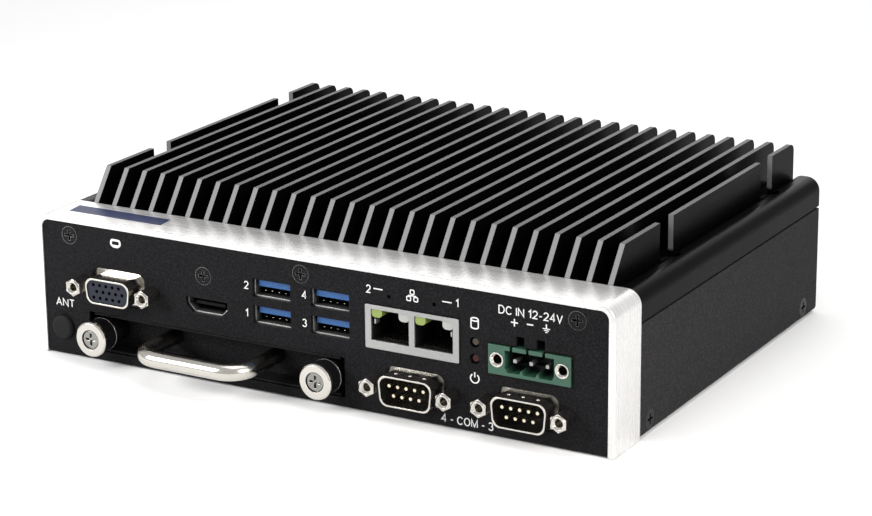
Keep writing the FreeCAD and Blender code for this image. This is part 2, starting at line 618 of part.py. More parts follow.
def capScrews():
    """Low round screws that hold the heatsink down on the rails."""
    piece = body("heatsink_screws")
    places = [(direction * capX, place) for place in notchPlaces for direction in (-1, 1)]
    heads, shanks, cross = (sketch(piece, "top", z) for z in
                            (d.channelFloor, d.channelFloor, d.channelFloor + d.capHeadHigh))
    for x, y in places:
        circle(heads, x, y, d.capHead / 2)
        circle(shanks, x, y, d.screwShank / 2)
        plus(cross, x, y, d.crossArm, d.crossHalf)
    pad(piece, heads, d.capHeadHigh)
    pad(piece, shanks, d.channelFloor - d.wallTop + d.sheet, forward=False)
    pocket(piece, cross, d.crossDeep, forward=False)


def jackscrews(name, outer, forward, sockets):
    """Hexagonal jackscrews beside the D-shaped connectors: turned nose, countersunk and tapped bore."""
    piece = body(name)
    shoulder = outer + (d.jackNose if forward else -d.jackNose)
    hexes, noses = (sketch(piece, "front", shoulder) for _ in range(2))
    stems, bores, sinks = (sketch(piece, "front", outer) for _ in range(3))
    reach, bore = d.jackProud + d.sheet + d.dFlangeThick, d.jackBore / 2 - d.jackWall
    for x, z in sockets.values():
        for direction in (-1, 1):
            place = x + direction * d.jackPitch / 2
            hexagon(hexes, place, z, d.hexFlats)
            circle(noses, place, z, d.hexFlats / 2)
            circle(stems, place, z, d.jackBore / 2)
            circle(bores, place, z, bore)
            circle(sinks, place, z, bore + d.jackSink)
    pad(piece, hexes, d.jackProud - d.jackNose, forward)
    pad(piece, noses, d.jackNose, not forward, taper=-45)
    pad(piece, stems, reach + d.jackTail, forward)
    pocket(piece, bores, d.jackProud - d.jackBoreStop, forward)
    pocket(piece, sinks, d.jackSink, forward, taper=-45)


# ---------------------------------------------------------------- connectors
def dConnector(name, x, z, face, inward, male):
    """A D-shaped connector: nickel shell, plastic body and, on a plug, its nine contacts."""
    sign = 1 if inward else -1
    out, back = d.sheet + d.dProud, d.dFlangeThick
    width = d.plugWidth if male else d.socketWidth
    height = d.plugHigh if male else d.socketHigh
    tip = face - sign * out
    shell = body(name + "_shell")
    flange = sketch(shell, "front", face)
    rectangle(flange, x, z, d.dFlangeWidth, d.dFlangeHigh, d.dFlangeCorner)
    for direction in (-1, 1):
        circle(flange, x + direction * d.jackPitch / 2, z, d.jackBore / 2 + d.jackSlip)
    pad(shell, flange, back, inward)
    tube = sketch(shell, "front", face)
    dOutline(tube, x, z, width, height)
    pad(shell, tube, out, not inward)
    inside = sketch(shell, "front", tip)
    dOutline(inside, x, z, width - 2 * d.dWall, height - 2 * d.dWall)
    pocket(shell, inside, out + back, inward)

    core = body(name + "_insulator")
    base = sketch(core, "front", face + sign * back)
    rectangle(base, x, z, d.jackPitch - d.jackBore - d.dBodyGap, d.dFlangeHigh - d.dBodyInset)
    pad(core, base, d.dDepth, inward)
    boss = sketch(core, "front", face + sign * back)
    dOutline(boss, x, z, width - 2 * d.dWall - 2 * d.runFit, height - 2 * d.dWall - 2 * d.runFit)
    pad(core, boss, back + (d.dFloor if male else out - d.dSetBack), not inward)
    bores = sketch(core, "front", tip)
    if male:
        contacts = [(column, d.nineRow / 2) for column in (-2, -1, 0, 1, 2)]
        contacts += [(column, -d.nineRow / 2) for column in (-1.5, -0.5, 0.5, 1.5)]
        for column, rise in contacts:
            circle(bores, x + column * d.ninePitch, z + rise, d.dPin + d.dPinSlip)
        pocket(core, bores, out + back + d.dBoreDeep, inward)
        pins = pieces.get("serial_pins") or body("serial_pins")
        rods = sketch(pins, "front", tip + sign * d.dPinBack)
        for column, rise in contacts:
            circle(rods, x + column * d.ninePitch, z + rise, d.dPin)
        pad(pins, rods, out + back + d.dPinTail, inward)
    else:
        for rise, shift in ((1, -1), (0, 1), (-1, -1)):
            for column in (-2, -1, 0, 1, 2):
                circle(bores, x + (column + shift * d.fifteenShift) * d.fifteenPitch, z + rise * d.fifteenRow,
                       d.fifteenHole)
        pocket(core, bores, d.dBoreDeep, inward)


def videoSocket():
    shell = body("video_shell")
    for inset in (0, d.videoWall):
        drawing = sketch(shell, "front", panelBack)
        high, low = d.videoZ + d.videoHigh / 2 - inset, d.videoZ - d.videoHigh / 2 + inset
        wide, cut = d.videoWidth / 2 - inset, d.videoCorner - inset / 2
        left, right = d.videoX - wide, d.videoX + wide
        polygon(drawing, [(left + cut, low), (right - cut, low), (right, low + cut), (right, high),
                          (left, high), (left, low + cut)])
        if inset:
            pocket(shell, drawing, d.videoMouthDeep)
        else:
            pad(shell, drawing, d.videoDepth)
    foot = sketch(shell, "front", panelBack + d.footBack)
    rectangle(foot, d.videoX, (low + d.boardTop) / 2, d.videoFoot, low - d.boardTop)
    pad(shell, foot, d.videoFoot)
    tongue = body("video_tongue")
    bar = sketch(tongue, "front", panelBack + d.videoTongueBack)
    rectangle(bar, d.videoX, d.videoZ + d.videoTongueRise, d.videoTongueWide, d.videoTongueThick)
    pad(tongue, bar, d.videoMouthDeep - d.videoTongueBack - d.runFit)


def busStack(name, x):
    """Two stacked sockets in one shell, with a blue tongue in the upper half of each mouth."""
    shell = body("bus_shell_" + name)
    low, high = d.boardTop, d.busLowZ + d.busPitch + d.busHigh / 2 + d.busWall
    outer = sketch(shell, "front", panelBack)
    rectangle(outer, x, (low + high) / 2, d.busWidth + 2 * d.busWall, high - low, d.portCorner)
    pad(shell, outer, d.busDepth)
    mouths = sketch(shell, "front", panelBack)
    ports = (d.busLowZ, d.busLowZ + d.busPitch)
    for z in ports:
        rectangle(mouths, x, z, d.busWidth, d.busHigh)
    pocket(shell, mouths, d.busMouthDeep)
    tongues = body("bus_tongues_" + name)
    root = d.busMouthDeep - d.busPlug
    blades = sketch(tongues, "front", panelBack + d.busTongueBack)
    walls = sketch(tongues, "front", panelBack + root)
    for z in ports:
        rectangle(blades, x, z + d.busTongueRise, d.busTongueWide, d.busTongueThick)
        rectangle(walls, x, z, d.busWidth - 2 * d.runFit, d.busHigh - 2 * d.runFit)
    pad(tongues, blades, root - d.busTongueBack)
    pad(tongues, walls, d.busPlug)


def lanSockets():
    """Twin network socket: one silver shell with two mouths, black liner and light pipes."""
    front = yFront - d.lanProud
    shell = body("lan_shell")
    outer = sketch(shell, "front", front)
    rectangle(outer, d.lanX, d.lanZ, d.lanWidth, d.lanHigh, d.lanCorner)
    pad(shell, outer, d.lanDepth)
    foot = sketch(shell, "front", panelBack + d.footBack)
    underside = d.lanZ - d.lanHigh / 2
    rectangle(foot, d.lanX, (underside + d.boardTop) / 2, d.lanWidth - d.lanFootInset, underside - d.boardTop)
    pad(shell, foot, d.lanDepth - d.lanFootShort)
    mouths = sketch(shell, "front", front)
    mouthZ = d.lanZ + d.lanMouthRise
    low, top = mouthZ - d.lanMouthHigh / 2, mouthZ + d.lanMouthHigh / 2
    centres = [d.lanX + direction * d.lanPitch / 2 for direction in (-1, 1)]
    for x in centres:
        rectangle(mouths, x, mouthZ, d.lanMouthWidth, d.lanMouthHigh)
    pocket(shell, mouths, d.lanMouthDeep)
    liner = body("lan_liner")
    plugs = sketch(liner, "front", front + d.lanMouthDeep - d.lanPlug)
    walls = sketch(liner, "front", front + d.lanLinerBack)
    half, t, foot = d.lanMouthWidth / 2 - d.runFit, d.lanLinerWall, low + d.runFit
    rim = top - d.lanLedHigh - d.looseFit
    for x in centres:
        rectangle(plugs, x, mouthZ, 2 * half, d.lanMouthHigh - 2 * d.runFit)
        left, right = x - half, x + half
        polygon(walls, [(left, foot), (right, foot), (right, rim), (right - t, rim), (right - t, foot + t),
                        (left + t, foot + t), (left + t, rim), (left, rim)])
    pad(liner, plugs, d.lanPlug)
    pad(liner, walls, d.lanMouthDeep - d.lanPlug - d.lanLinerBack)
    lights = body("lan_light_pipes")
    rods = sketch(lights, "front", front + d.lanLedBack)
    high, wide, r = top - d.runFit, d.lanLedWidth / 2, d.lanLedHigh / 2
    for x in centres:
        for direction in (-1, 1):
            middle = x + direction * (half - wide)
            polygon(rods, [(middle - wide, high - d.lanLedHigh, r), (middle + wide, high - d.lanLedHigh, r),
                           (middle + wide, high), (middle - wide, high)])
    pad(lights, rods, d.lanMouthDeep - d.lanPlug - d.lanLedBack)


def powerHeader():
    """Green plug-in power header with a flange nut at each side of its mouth."""
    front = yFront - d.termProud
    header = body("power_header")
    outer = sketch(header, "front", front)
    rectangle(outer, d.termX, d.termZ, d.termWidth, d.termHigh)
    pad(header, outer, d.termDepth)
    mouth = sketch(header, "front", front)
    rectangle(mouth, d.termX, d.termZ + d.termMouthRise, d.termMouthWidth, d.termMouthHigh)
    pocket(header, mouth, d.termDepth - d.termBackWall)
    scallops, notches = (sketch(header, "front", front) for _ in range(2))
    half, r = d.termPitch / 2 - d.scallopGap, d.scallopCorner
    low = d.termZ + d.termMouthRise - d.termMouthHigh / 2
    under, over = low - d.scallopDeep, low + d.scallopLap
    for column in (-1, 0, 1):
        middle = d.termX + column * d.termPitch
        polygon(scallops, [(middle - half, under, r), (middle + half, under, r), (middle + half, over),
                           (middle - half, over)])
        rectangle(notches, middle - d.termNotchLeft, d.termZ + d.termHigh / 2, d.termNotchWide,
                  2 * d.termNotchHigh)
    pocket(header, scallops, d.termDepth - d.scallopShort)
    pocket(header, notches, d.termNotchDeep)
    seats = sketch(header, "front", front)
    for direction in (-1, 1):
        circle(seats, d.termX + direction * d.termNutSpread / 2, d.termZ, d.termNut / 2)
    pocket(header, seats, d.termNutDeep)
    pins = body("power_pins")
    rods = sketch(pins, "front", yFront + d.termPinBack)
    for column in (-1, 0, 1):
        rectangle(rods, d.termX + column * d.termPitch, d.termZ, d.termPin, d.termPin)
    pad(pins, rods, d.termDepth - d.termBackWall - d.termPinBack - d.termProud)
    nuts = body("power_header_nuts")
    rings, sinks = (sketch(nuts, "front", front - d.termNutProud) for _ in range(2))
    for direction in (-1, 1):
        place = d.termX + direction * d.termNutSpread / 2
        circle(rings, place, d.termZ, d.termNut / 2)
        circle(rings, place, d.termZ, d.termNutBore / 2)
        circle(sinks, place, d.termZ, d.termNutBore / 2 + d.termNutSink)
    pad(nuts, rings, d.termNutDeep + d.termNutProud)
    pocket(nuts, sinks, d.termNutSink, taper=-45)


def lamps():
    piece = body("status_lamps")
    lenses = sketch(piece, "front", yFront + d.lampDeep)
    for z in (d.lampHighZ, d.lampLowZ):
        circle(lenses, d.lampX, z, d.lampRadius)
    pad(piece, lenses, d.lampLong)
    roundEdges(piece, d.lampDome, lambda e: flatAt(e, "y", yFront + d.lampDeep))


def blanks(name, face, forward, places, sheetBack):
    """Domed plastic plugs that close unused aerial holes."""
    piece = body(name)
    heads = sketch(piece, "front", face)
    stems = sketch(piece, "front", face)
    for x, z in places:
        circle(heads, x, z, d.blankRadius)
        circle(stems, x, z, d.blankHole - 2 * d.runFit)
    pad(piece, heads, d.blankDome, not forward)
    rim = face - (d.blankDome if forward else -d.blankDome)
    roundEdges(piece, d.blankDome - d.blankRim, lambda e: flatAt(e, "y", rim))
    pad(piece, stems, sheetBack + d.blankTail, forward)


# ---------------------------------------------------------------- drive bay
def driveTray():
    """Folded tray: door with a lip above and below, floor and two low side walls in one sheet."""
    piece = body("drive_tray")
    low = bayLow + d.bayGap
    door = sketch(piece, "front", doorFace)
    rectangle(door, d.bayX, d.bayZ, d.bayWidth - 2 * d.bayGap, d.bayHigh - 2 * d.bayGap, d.bayCorner)
    pad(piece, door, d.traySheet)
    lips = sketch(piece, "front", yFront + d.lipBack)
    for side in (-1, 1):
        edge = d.bayHigh / 2 - d.bayGap - d.lipThick / 2
        rectangle(lips, d.bayX, d.bayZ + side * edge, d.bayWidth - 2 * d.bayGap - 2 * d.lipInset, d.lipThick)
    pad(piece, lips, d.bayDoorDeep - d.lipBack + d.traySheet)
    channel = sketch(piece, "front", doorFace)
    half, t, top = d.trayWidth / 2, d.traySheet, low + d.trayWallHigh
    polygon(channel, [(d.bayX - half, low), (d.bayX + half, low), (d.bayX + half, top),
                      (d.bayX + half - t, top), (d.bayX + half - t, low + t), (d.bayX - half + t, low + t),
                      (d.bayX - half + t, top), (d.bayX - half, top)])
    pad(piece, channel, d.trayDepth)
    holes = sketch(piece, "front", doorFace)
    for x in knobPlaces.values():
        circle(holes, x, d.knobZ, d.thumbShank + d.runFit)
    pocket(piece, holes, d.traySheet)


def trayHandle():
    """Bent round rod in a U, standing out level from the door."""
    piece = body("tray_handle")
    run = sketch(piece, "top", d.handleZ)
    left, right = d.bayX - d.handleSpread / 2, d.bayX + d.handleSpread / 2
    back, front, r = doorFace, yFront - d.handleOut, d.handleBend
    path = [((left, back), (left, front + r)), ((left + r, front), (right - r, front)),
            ((right, front + r), (right, back))]
    lines = []
    for start, end in path:
        line = run.addGeometry(Part.LineSegment(Vector(start[0].value, start[1].value, 0),
                                                Vector(end[0].value, end[1].value, 0)))
        pin(run, line, 1, *start)
        pin(run, line, 2, *end)
        lines.append(line)
    for first, second, middle in ((0, 1, (left + r, front + r)), (1, 2, (right - r, front + r))):
        a, b = run.getPoint(lines[first], 2), run.getPoint(lines[second], 1)
        centre = Vector(middle[0].value, middle[1].value, 0)
        outward = ((a + b) / 2 - centre).normalize()
        arc = run.addGeometry(Part.Arc(a, centre + outward * r.value, b))
        near = 1 if run.getPoint(arc, 1).distanceToPoint(a) < 1e-6 else 2
        rule(run, "Coincident", arc, near, lines[first], 2)
        rule(run, "Coincident", arc, 3 - near, lines[second], 1)
        rule(run, "Radius", arc, length=r)
    rod = sketch(piece, "front", doorFace)
    circle(rod, left, d.handleZ, d.handleRod)
    settle(run)
    settle(rod)
    doc.recompute()
    sweep = piece.newObject("PartDesign::AdditivePipe", "handleRod")
    sweep.Profile = rod
    sweep.Spine = run
    sweep.Mode = "Standard"
    doc.recompute()


def thumbscrew(name):
    """Captive thumbscrew, turned about its own axis and placed in the tray's door."""
    piece = body(name)
    turned = sketch(piece, "side", 0)
    front = yFront - d.knobFront
    bevel, shank = d.knobBevel, d.thumbShank
    inner = d.knobRecess - d.knobGroove
    polygon(turned, [(front + d.knobRecessDeep, 0), (front + d.knobRecessDeep, inner),
                     (front + d.knobGrooveDeep, inner), (front + d.knobGrooveDeep, d.knobRecess),
                     (front, d.knobRecess), (front, d.knobRadius - bevel), (front + bevel, d.knobRadius),
                     (front + d.knobLong, d.knobRadius), (front + d.knobLong, shank),
                     (doorFace + d.thumbReach, shank), (doorFace + d.thumbReach, 0)])
    settle(turned)
    spin = piece.newObject("PartDesign::Revolution", name + "Turned")
    spin.Profile = turned
    spin.ReferenceAxis = (turned, ["H_Axis"])
    spin.Angle = 360
    doc.recompute()
    cross = sketch(piece, "front", front + d.knobRecessDeep)
    plus(cross, 0, 0, d.knobCrossArm, d.knobCrossHalf)
    pocket(piece, cross, d.knobCrossDeep)
    bind(piece, "Placement.Base.x", knobPlaces[name])
    bind(piece, "Placement.Base.z", d.knobZ)


def ferrules():
    """Plastic collars behind the thumbscrews, each with a neck that stands on the tray's door."""
    piece = body("thumbscrew_ferrules")
    front = yFront - d.knobFront + d.knobLong + d.ferruleGap
    back = yFront - d.ferruleBack
    for radius, length in ((d.ferruleRadius, back - front), (d.ferruleNeck, doorFace - front)):
        rings = sketch(piece, "front", front)
        for x in knobPlaces.values():
            circle(rings, x, d.knobZ, radius)
            circle(rings, x, d.knobZ, d.thumbShank + d.runFit)
        pad(piece, rings, length)


def trayGuides():
    """Folded guides beside the tray: foot on the floor, ledge under the tray, tab for the thumbscrew."""
    piece = body("tray_guides")
    t, floor = d.guideWall, d.coverSheet
    section, tabs, holes = (sketch(piece, "front", panelBack + d.guideBack) for _ in range(3))
    ledge, above = d.guideLedge, d.knobZ + d.guideTabAbove
    for direction in (-1, 1):
        inner = d.trayWidth / 2 + d.bayGap
        outer, reach, top = inner + t, inner - ledge, floor + d.guideHigh
        shape = [(inner, floor), (outer, floor), (outer, top), (inner, top), (inner, bayLow), (reach, bayLow),
                 (reach, bayLow - t), (inner, bayLow - t)]
        polygon(section, [(d.bayX + direction * x, z) for x, z in shape])
        middle = direction * (outer + d.guideTab / 2)
        rectangle(tabs, d.bayX + middle, (floor + above) / 2, d.guideTab, above - floor)
    pad(piece, section, d.trayDepth - d.guideShort)
    pad(piece, tabs, d.guideTabThick)
    for x in knobPlaces.values():
        circle(holes, x, d.knobZ, d.thumbShank + d.runFit)
    pocket(piece, holes, d.guideTabThick)


def storageDrive():
    piece = body("storage_drive")
    case = sketch(piece, "front", driveFront)
    rectangle(case, d.bayX, trayFloor + d.driveHigh / 2, d.driveWidth, d.driveHigh, d.driveCorner)
    pad(piece, case, d.driveDepth)
    mouth = sketch(piece, "front", driveFront + d.driveDepth)
    rectangle(mouth, d.bayX + d.driveMouthX, trayFloor + d.driveMouthZ, d.driveMouthWide, d.driveMouthHigh)
    pocket(piece, mouth, d.driveMouthDeep, forward=False)


def driveConnector():
    """Upright board connector that the drive plugs onto at the back of the bay."""
    piece = body("drive_connector")
    face, x, low = driveFront + d.driveDepth + d.plugGap, d.bayX + d.driveMouthX, trayFloor + d.bayGap
    upright = sketch(piece, "front", face)
    rectangle(upright, x, (boardUnder + low) / 2, d.plugWide, boardUnder - low)
    pad(piece, upright, d.plugThick)
    blade = sketch(piece, "front", face)
    rectangle(blade, x, trayFloor + d.driveMouthZ, d.driveMouthWide - d.plugGap, d.plugBlade)
    pad(piece, blade, d.plugReach, forward=False)


# ---------------------------------------------------------------- boards and inside parts
def mainBoard():
    piece = body("main_board")
    plate = sketch(piece, "top", boardUnder)
    rectangle(plate, 0, (boardFront + boardEnd) / 2, 2 * boardHalf, boardEnd - boardFront, d.boardCorner)
    for x, y in standoffPlaces:
        circle(plate, x, y, d.screwShank / 2 + d.runFit)
    pad(piece, plate, d.board)


def boardStandoffs():
    """Hexagonal pillars between the board and the heatsink's underside, their studs in the board."""
    piece = body("board_standoffs")
    pillars = sketch(piece, "top", d.boardTop)
    studs = sketch(piece, "top", d.boardTop)
    for x, y in standoffPlaces:
        hexagon(pillars, x, y, d.standoffFlats)
        circle(studs, x, y, d.screwShank / 2)
    pad(piece, pillars, d.plateUnder - d.boardTop)
    pad(piece, studs, d.board, forward=False)


def thermalStack():
    """Processor package on the board and the aluminium block that joins it to the heatsink."""
    x, y, half, top = d.packageX, d.packageY, d.socketSide / 2, d.boardTop + d.packageHigh
    block("processor", (x - half, x + half), (y - half, y + half), (d.boardTop, top))
    piece = body("thermal_spreader")
    pedestal = sketch(piece, "top", top)
    side = d.socketSide - d.pedestalInset
    rectangle(pedestal, x, y, side, side, d.pedestalCorner)
    pad(piece, pedestal, d.pedestalHigh)
    slab = sketch(piece, "top", top + d.pedestalHigh)
    rectangle(slab, x, y, d.spreaderSide, d.spreaderSide, d.spreaderCorner)
    pad(piece, slab, d.plateUnder - top - d.pedestalHigh)


def memory():
    x, y, level = d.memoryX, d.memoryY, d.boardTop + d.memoryRise
    socket = body("memory_socket")
    base = sketch(socket, "top", d.boardTop)
    rectangle(base, x, y, d.memoryLong + d.memoryRim, d.memoryBase)
    for direction in (-1, 1):
        out = direction * (d.memoryLong / 2 + d.memoryArmGap + d.memoryArm / 2)
        rectangle(base, x + out, y + d.memoryWide / 2, d.memoryArm, d.memoryWide - d.memoryBase)
    pad(socket, base, d.memoryHigh)
    mouth = y + d.memoryBase / 2
    slot = sketch(socket, "front", mouth)
    rectangle(slot, x, level, d.memoryLong + 2 * d.looseFit, d.memorySlot)
    pocket(socket, slot, d.memorySlotDeep, forward=False)
    module = body("memory_module")
    card = sketch(module, "front", mouth - d.memorySlotDeep + d.looseFit)
    rectangle(card, x, level, d.memoryLong, d.memoryCard)
    pad(module, card, d.memoryWide)
    chips = sketch(module, "top", level + d.memoryCard / 2)
    for column in (-1.5, -0.5, 0.5, 1.5):
        rectangle(chips, x + column * d.chipPitch, y + d.chipOut, d.chipWide, d.chipDeep)
    pad(module, chips, d.chipHigh)


def coinCell():
    x, y, rim = d.coinX, d.coinY, d.boardTop + d.coinHolderHigh
    holder = body("coin_cell_holder")
    ring = sketch(holder, "top", d.boardTop)
    circle(ring, x, y, d.coinRadius + d.coinRim)
    pad(holder, ring, d.coinHolderHigh)
    well = sketch(holder, "top", rim)
    circle(well, x, y, d.coinRadius + d.looseFit)
    pocket(holder, well, d.coinHigh + d.coinSunk, forward=False)
    cell = body("coin_cell")
    disc = sketch(cell, "top", rim - d.coinHigh - d.coinSunk)
    circle(disc, x, y, d.coinRadius)
    pad(cell, disc, d.coinHigh)


def serialBoard():
    """Small board behind the lower serial sockets, with the header that joins it to the main board."""
    piece = body("serial_board")
    plate = sketch(piece, "top", d.serialTop)
    left, right = d.comFourX - d.serialMargin, d.comThreeX + d.serialMargin
    middle, back = (left + right) / 2, boardFront + d.serialDepth
    rectangle(plate, middle, (boardFront + back) / 2, right - left, d.serialDepth)
    pad(piece, plate, d.board, forward=False)
    riser = sketch(piece, "top", d.serialTop)
    rectangle(riser, middle, back - d.headerBack, d.headerWide, d.headerThick)
    pad(piece, riser, boardUnder - d.serialTop)


def powerButton():
    """Round push button in the rear panel with its threaded collar."""
    housing = body("button_housing")
    collar = sketch(housing, "front", rearFace)
    circle(collar, d.buttonX, d.buttonZ, d.buttonBezel)
    pad(housing, collar, d.buttonCollar)
    barrel = sketch(housing, "front", rearFace)
    circle(barrel, d.buttonX, d.buttonZ, d.buttonRadius + d.buttonWall)
    pad(housing, barrel, d.buttonBody, forward=False)
    bore = sketch(housing, "front", rearFace + d.buttonCollar)
    circle(bore, d.buttonX, d.buttonZ, d.buttonRadius + d.runFit)
    pocket(housing, bore, d.buttonCollar + d.buttonBody - d.buttonFloor, forward=False)
    button = body("power_button")
    cap = sketch(button, "front", rearFace + d.buttonProud)
    circle(cap, d.buttonX, d.buttonZ, d.buttonRadius)
    travel = d.buttonTravel + d.buttonSlack
    pad(button, cap, d.buttonBody + d.buttonProud - d.buttonFloor - travel, forward=False)


def mountNuts():
    """Self-clinching nuts in the floor for a wall or monitor-arm plate."""
    piece = body("mount_nuts")
    rings = sketch(piece, "top", d.coverSheet)
    for x, y in mountPlaces:
        circle(rings, x, y, d.mountNut)
        circle(rings, x, y, d.mountHole)
    pad(piece, rings, d.mountNutHigh)


# ---------------------------------------------------------------- build, check and write
heatsinkCover()
frontBezel()
frontPanel()
rearPanel()
bottomCover()
sideRail("left_side_rail", -1)
sideRail("right_side_rail", 1)
flatScrews("panel_screws", d.flatHead, [("front", yFront + d.headSunk, True, panelScrews)])
flatScrews("side_screws", d.sideHead, [("side", direction * (xWall - d.headSunk), direction < 0,
                                        [(place, d.sideScrewUp) for place in sideScrewPlaces])
                                       for direction in (-1, 1)])
capScrews()
for name, (x, z) in frontDSockets.items():
    dConnector(name, x, z, panelBack, True, male=name != "display")
for name, (x, z) in rearDSockets.items():
    dConnector(name, x, z, rearInner, False, male=True)
jackscrews("front_jackscrews", yFront - d.jackProud, True, frontDSockets)
jackscrews("rear_jackscrews", rearFace + d.jackProud, False, rearDSockets)
videoSocket()
busStack("12", d.busLeftX)
busStack("34", d.busRightX)
lanSockets()
powerHeader()
lamps()
blanks("aerial_blank", yFront, True, [(d.blankX, d.blankZ)], d.sheet)
blanks("rear_aerial_blanks", rearFace, False, [(side * d.rearBlankX, d.buttonZ) for side in (-1, 1)], d.sheet)
driveTray()
trayHandle()
for name in knobPlaces:
    thumbscrew(name)
ferrules()
trayGuides()
storageDrive()
driveConnector()
mainBoard()
boardStandoffs()
thermalStack()
memory()
coinCell()
serialBoard()
powerButton()
mountNuts()

doc.recompute()
for item in doc.Objects:
    if "Invalid" in item.State or "Error" in item.State:
        raise RuntimeError(f"{item.Name} failed: {item.State}")
os.makedirs("parts", exist_ok=True)
for name, piece in pieces.items():
    if piece.Shape.isNull() or not piece.Shape.isValid():
        raise RuntimeError(f"{name} has no valid shape")
    piece.Shape.exportStep(f"parts/{name}.step")
    print(f"{name}: {len(piece.Shape.Solids)} solids, {piece.Shape.Volume:.1f} mm3")
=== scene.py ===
import bmesh
import bpy
import json
import math
from mathutils import Matrix, Vector


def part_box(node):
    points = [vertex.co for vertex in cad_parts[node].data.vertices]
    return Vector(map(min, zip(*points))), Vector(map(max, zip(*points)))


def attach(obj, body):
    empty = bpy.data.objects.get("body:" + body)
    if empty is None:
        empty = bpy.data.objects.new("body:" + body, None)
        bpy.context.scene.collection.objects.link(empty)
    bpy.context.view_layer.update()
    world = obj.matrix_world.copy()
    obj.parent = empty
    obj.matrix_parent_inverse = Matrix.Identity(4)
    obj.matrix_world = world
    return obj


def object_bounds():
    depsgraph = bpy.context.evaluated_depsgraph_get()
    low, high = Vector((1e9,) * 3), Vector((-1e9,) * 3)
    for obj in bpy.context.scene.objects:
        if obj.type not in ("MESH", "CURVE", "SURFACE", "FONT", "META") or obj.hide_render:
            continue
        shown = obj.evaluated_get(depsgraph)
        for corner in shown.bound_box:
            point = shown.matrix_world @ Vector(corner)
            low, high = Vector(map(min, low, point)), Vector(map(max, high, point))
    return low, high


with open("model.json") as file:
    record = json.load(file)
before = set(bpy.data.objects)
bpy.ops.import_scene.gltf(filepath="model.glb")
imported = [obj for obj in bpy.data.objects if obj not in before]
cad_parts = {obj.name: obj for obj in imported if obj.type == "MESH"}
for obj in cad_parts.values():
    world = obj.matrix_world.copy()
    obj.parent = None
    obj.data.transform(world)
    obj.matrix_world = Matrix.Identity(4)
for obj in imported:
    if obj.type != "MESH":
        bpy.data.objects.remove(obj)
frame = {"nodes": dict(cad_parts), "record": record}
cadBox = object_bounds()
nodes = frame["nodes"]
slotOf = {row["node"]: row["material_slot"] for row in frame["record"]["subparts"]}
mm = 0.001


# low and high corner of a node
def edges(name):
    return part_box(name)


# middle of a node along X (0), Y (1) or Z (2)
def middle(name, axis):
    low, high = edges(name)
    return (low[axis] + high[axis]) / 2


panelFront = edges("front_panel")[0].y

studio = {
    "aim": (0.02518, -0.04392, 0.03932),
    "distance": 0.80646,
    "around": 29.699,      # degrees from straight in front
    "above": 17.430,
    "roll": -0.557,
    "lens": 114.78,
    "sensor": 36.0,
    "nearest": 0.01,
    "floorSize": 6.0,
    "floorColour": (0.88, 0.88, 0.88),
    "floorRoughness": 0.9,
    "floorGloss": 0.1,
    "floorDrop": 0.0002,   # keeps the floor clear of the underside
    "sky": 0.7,
}

# power in watts, spread in degrees
softboxes = {
    "keyRight": dict(place=(0.5, -0.2, 0.26), target=(0.097, -0.08, 0.02), size=(0.3, 0.3), power=0.4,
                     spread=70, colour=(1.0, 0.98, 0.955)),
    "fillLeft": dict(place=(-0.42, -0.5, 0.3), target=(-0.07, -0.07, 0.02), size=(0.3, 0.3), power=0.75,
                     spread=70),
    "overhead": dict(place=(0.1, 0.15, 1.35), target=(0.02, 0, 0), size=(1.1, 1.1), power=4.0, spread=150),
    "backCard": dict(place=(-0.3, 0.9, 0.4), target=(0.0, 0, 0.05), size=(1.0, 0.4), power=0.85, spread=100),
}


def setCamera():
    around = math.radians(studio["around"])
    above = math.radians(studio["above"])
    roll = math.radians(studio["roll"])
    back = Vector((math.sin(around) * math.cos(above), -math.cos(around) * math.cos(above), math.sin(above)))
    right = (-back).cross(Vector((0, 0, 1))).normalized()
    up = right.cross(-back)
    across = right * math.cos(roll) + up * math.sin(roll)
    upright = up * math.cos(roll) - right * math.sin(roll)
    turn = Matrix((across, upright, back)).transposed().to_4x4()
    lens = bpy.data.cameras.new("studioCamera")
    lens.lens = studio["lens"]
    lens.sensor_width = studio["sensor"]
    lens.clip_start = studio["nearest"]
    camera = bpy.data.objects.new("studioCamera", lens)
    camera.matrix_world = Matrix.Translation(Vector(studio["aim"]) + back * studio["distance"]) @ turn
    bpy.context.scene.collection.objects.link(camera)
    bpy.context.scene.camera = camera


def addSoftbox(name, place, target, size, power, spread, colour=(1, 1, 1)):
    lamp = bpy.data.lights.new(name, "AREA")
    lamp.shape = "RECTANGLE"
    lamp.size, lamp.size_y = size
    lamp.energy = power
    lamp.spread = math.radians(spread)
    lamp.color = colour
    box = bpy.data.objects.new(name, lamp)
    box.visible_camera = False
    box.location = place
    box.rotation_euler = (Vector(target) - Vector(place)).to_track_quat("-Z", "Y").to_euler()
    bpy.context.scene.collection.objects.link(box)


def layFloor():
    half = studio["floorSize"] / 2
    mesh = bpy.data.meshes.new("floor")
    corners = [(-half, -half, 0), (half, -half, 0), (half, half, 0), (-half, half, 0)]
    mesh.from_pydata(corners, [], [(0, 1, 2, 3)])
    floor = bpy.data.objects.new("floor", mesh)
    floor.location.z = cadBox[0][2] - studio["floorDrop"]
    bpy.context.scene.collection.objects.link(floor)
    paper = bpy.data.materials.new("floorPaper")
    paper.use_nodes = True
    face = paper.node_tree.nodes["Principled BSDF"]
    face.inputs["Base Color"].default_value = (*studio["floorColour"], 1)
    face.inputs["Roughness"].default_value = studio["floorRoughness"]
    face.inputs["Specular IOR Level"].default_value = studio["floorGloss"]
    mesh.materials.append(paper)


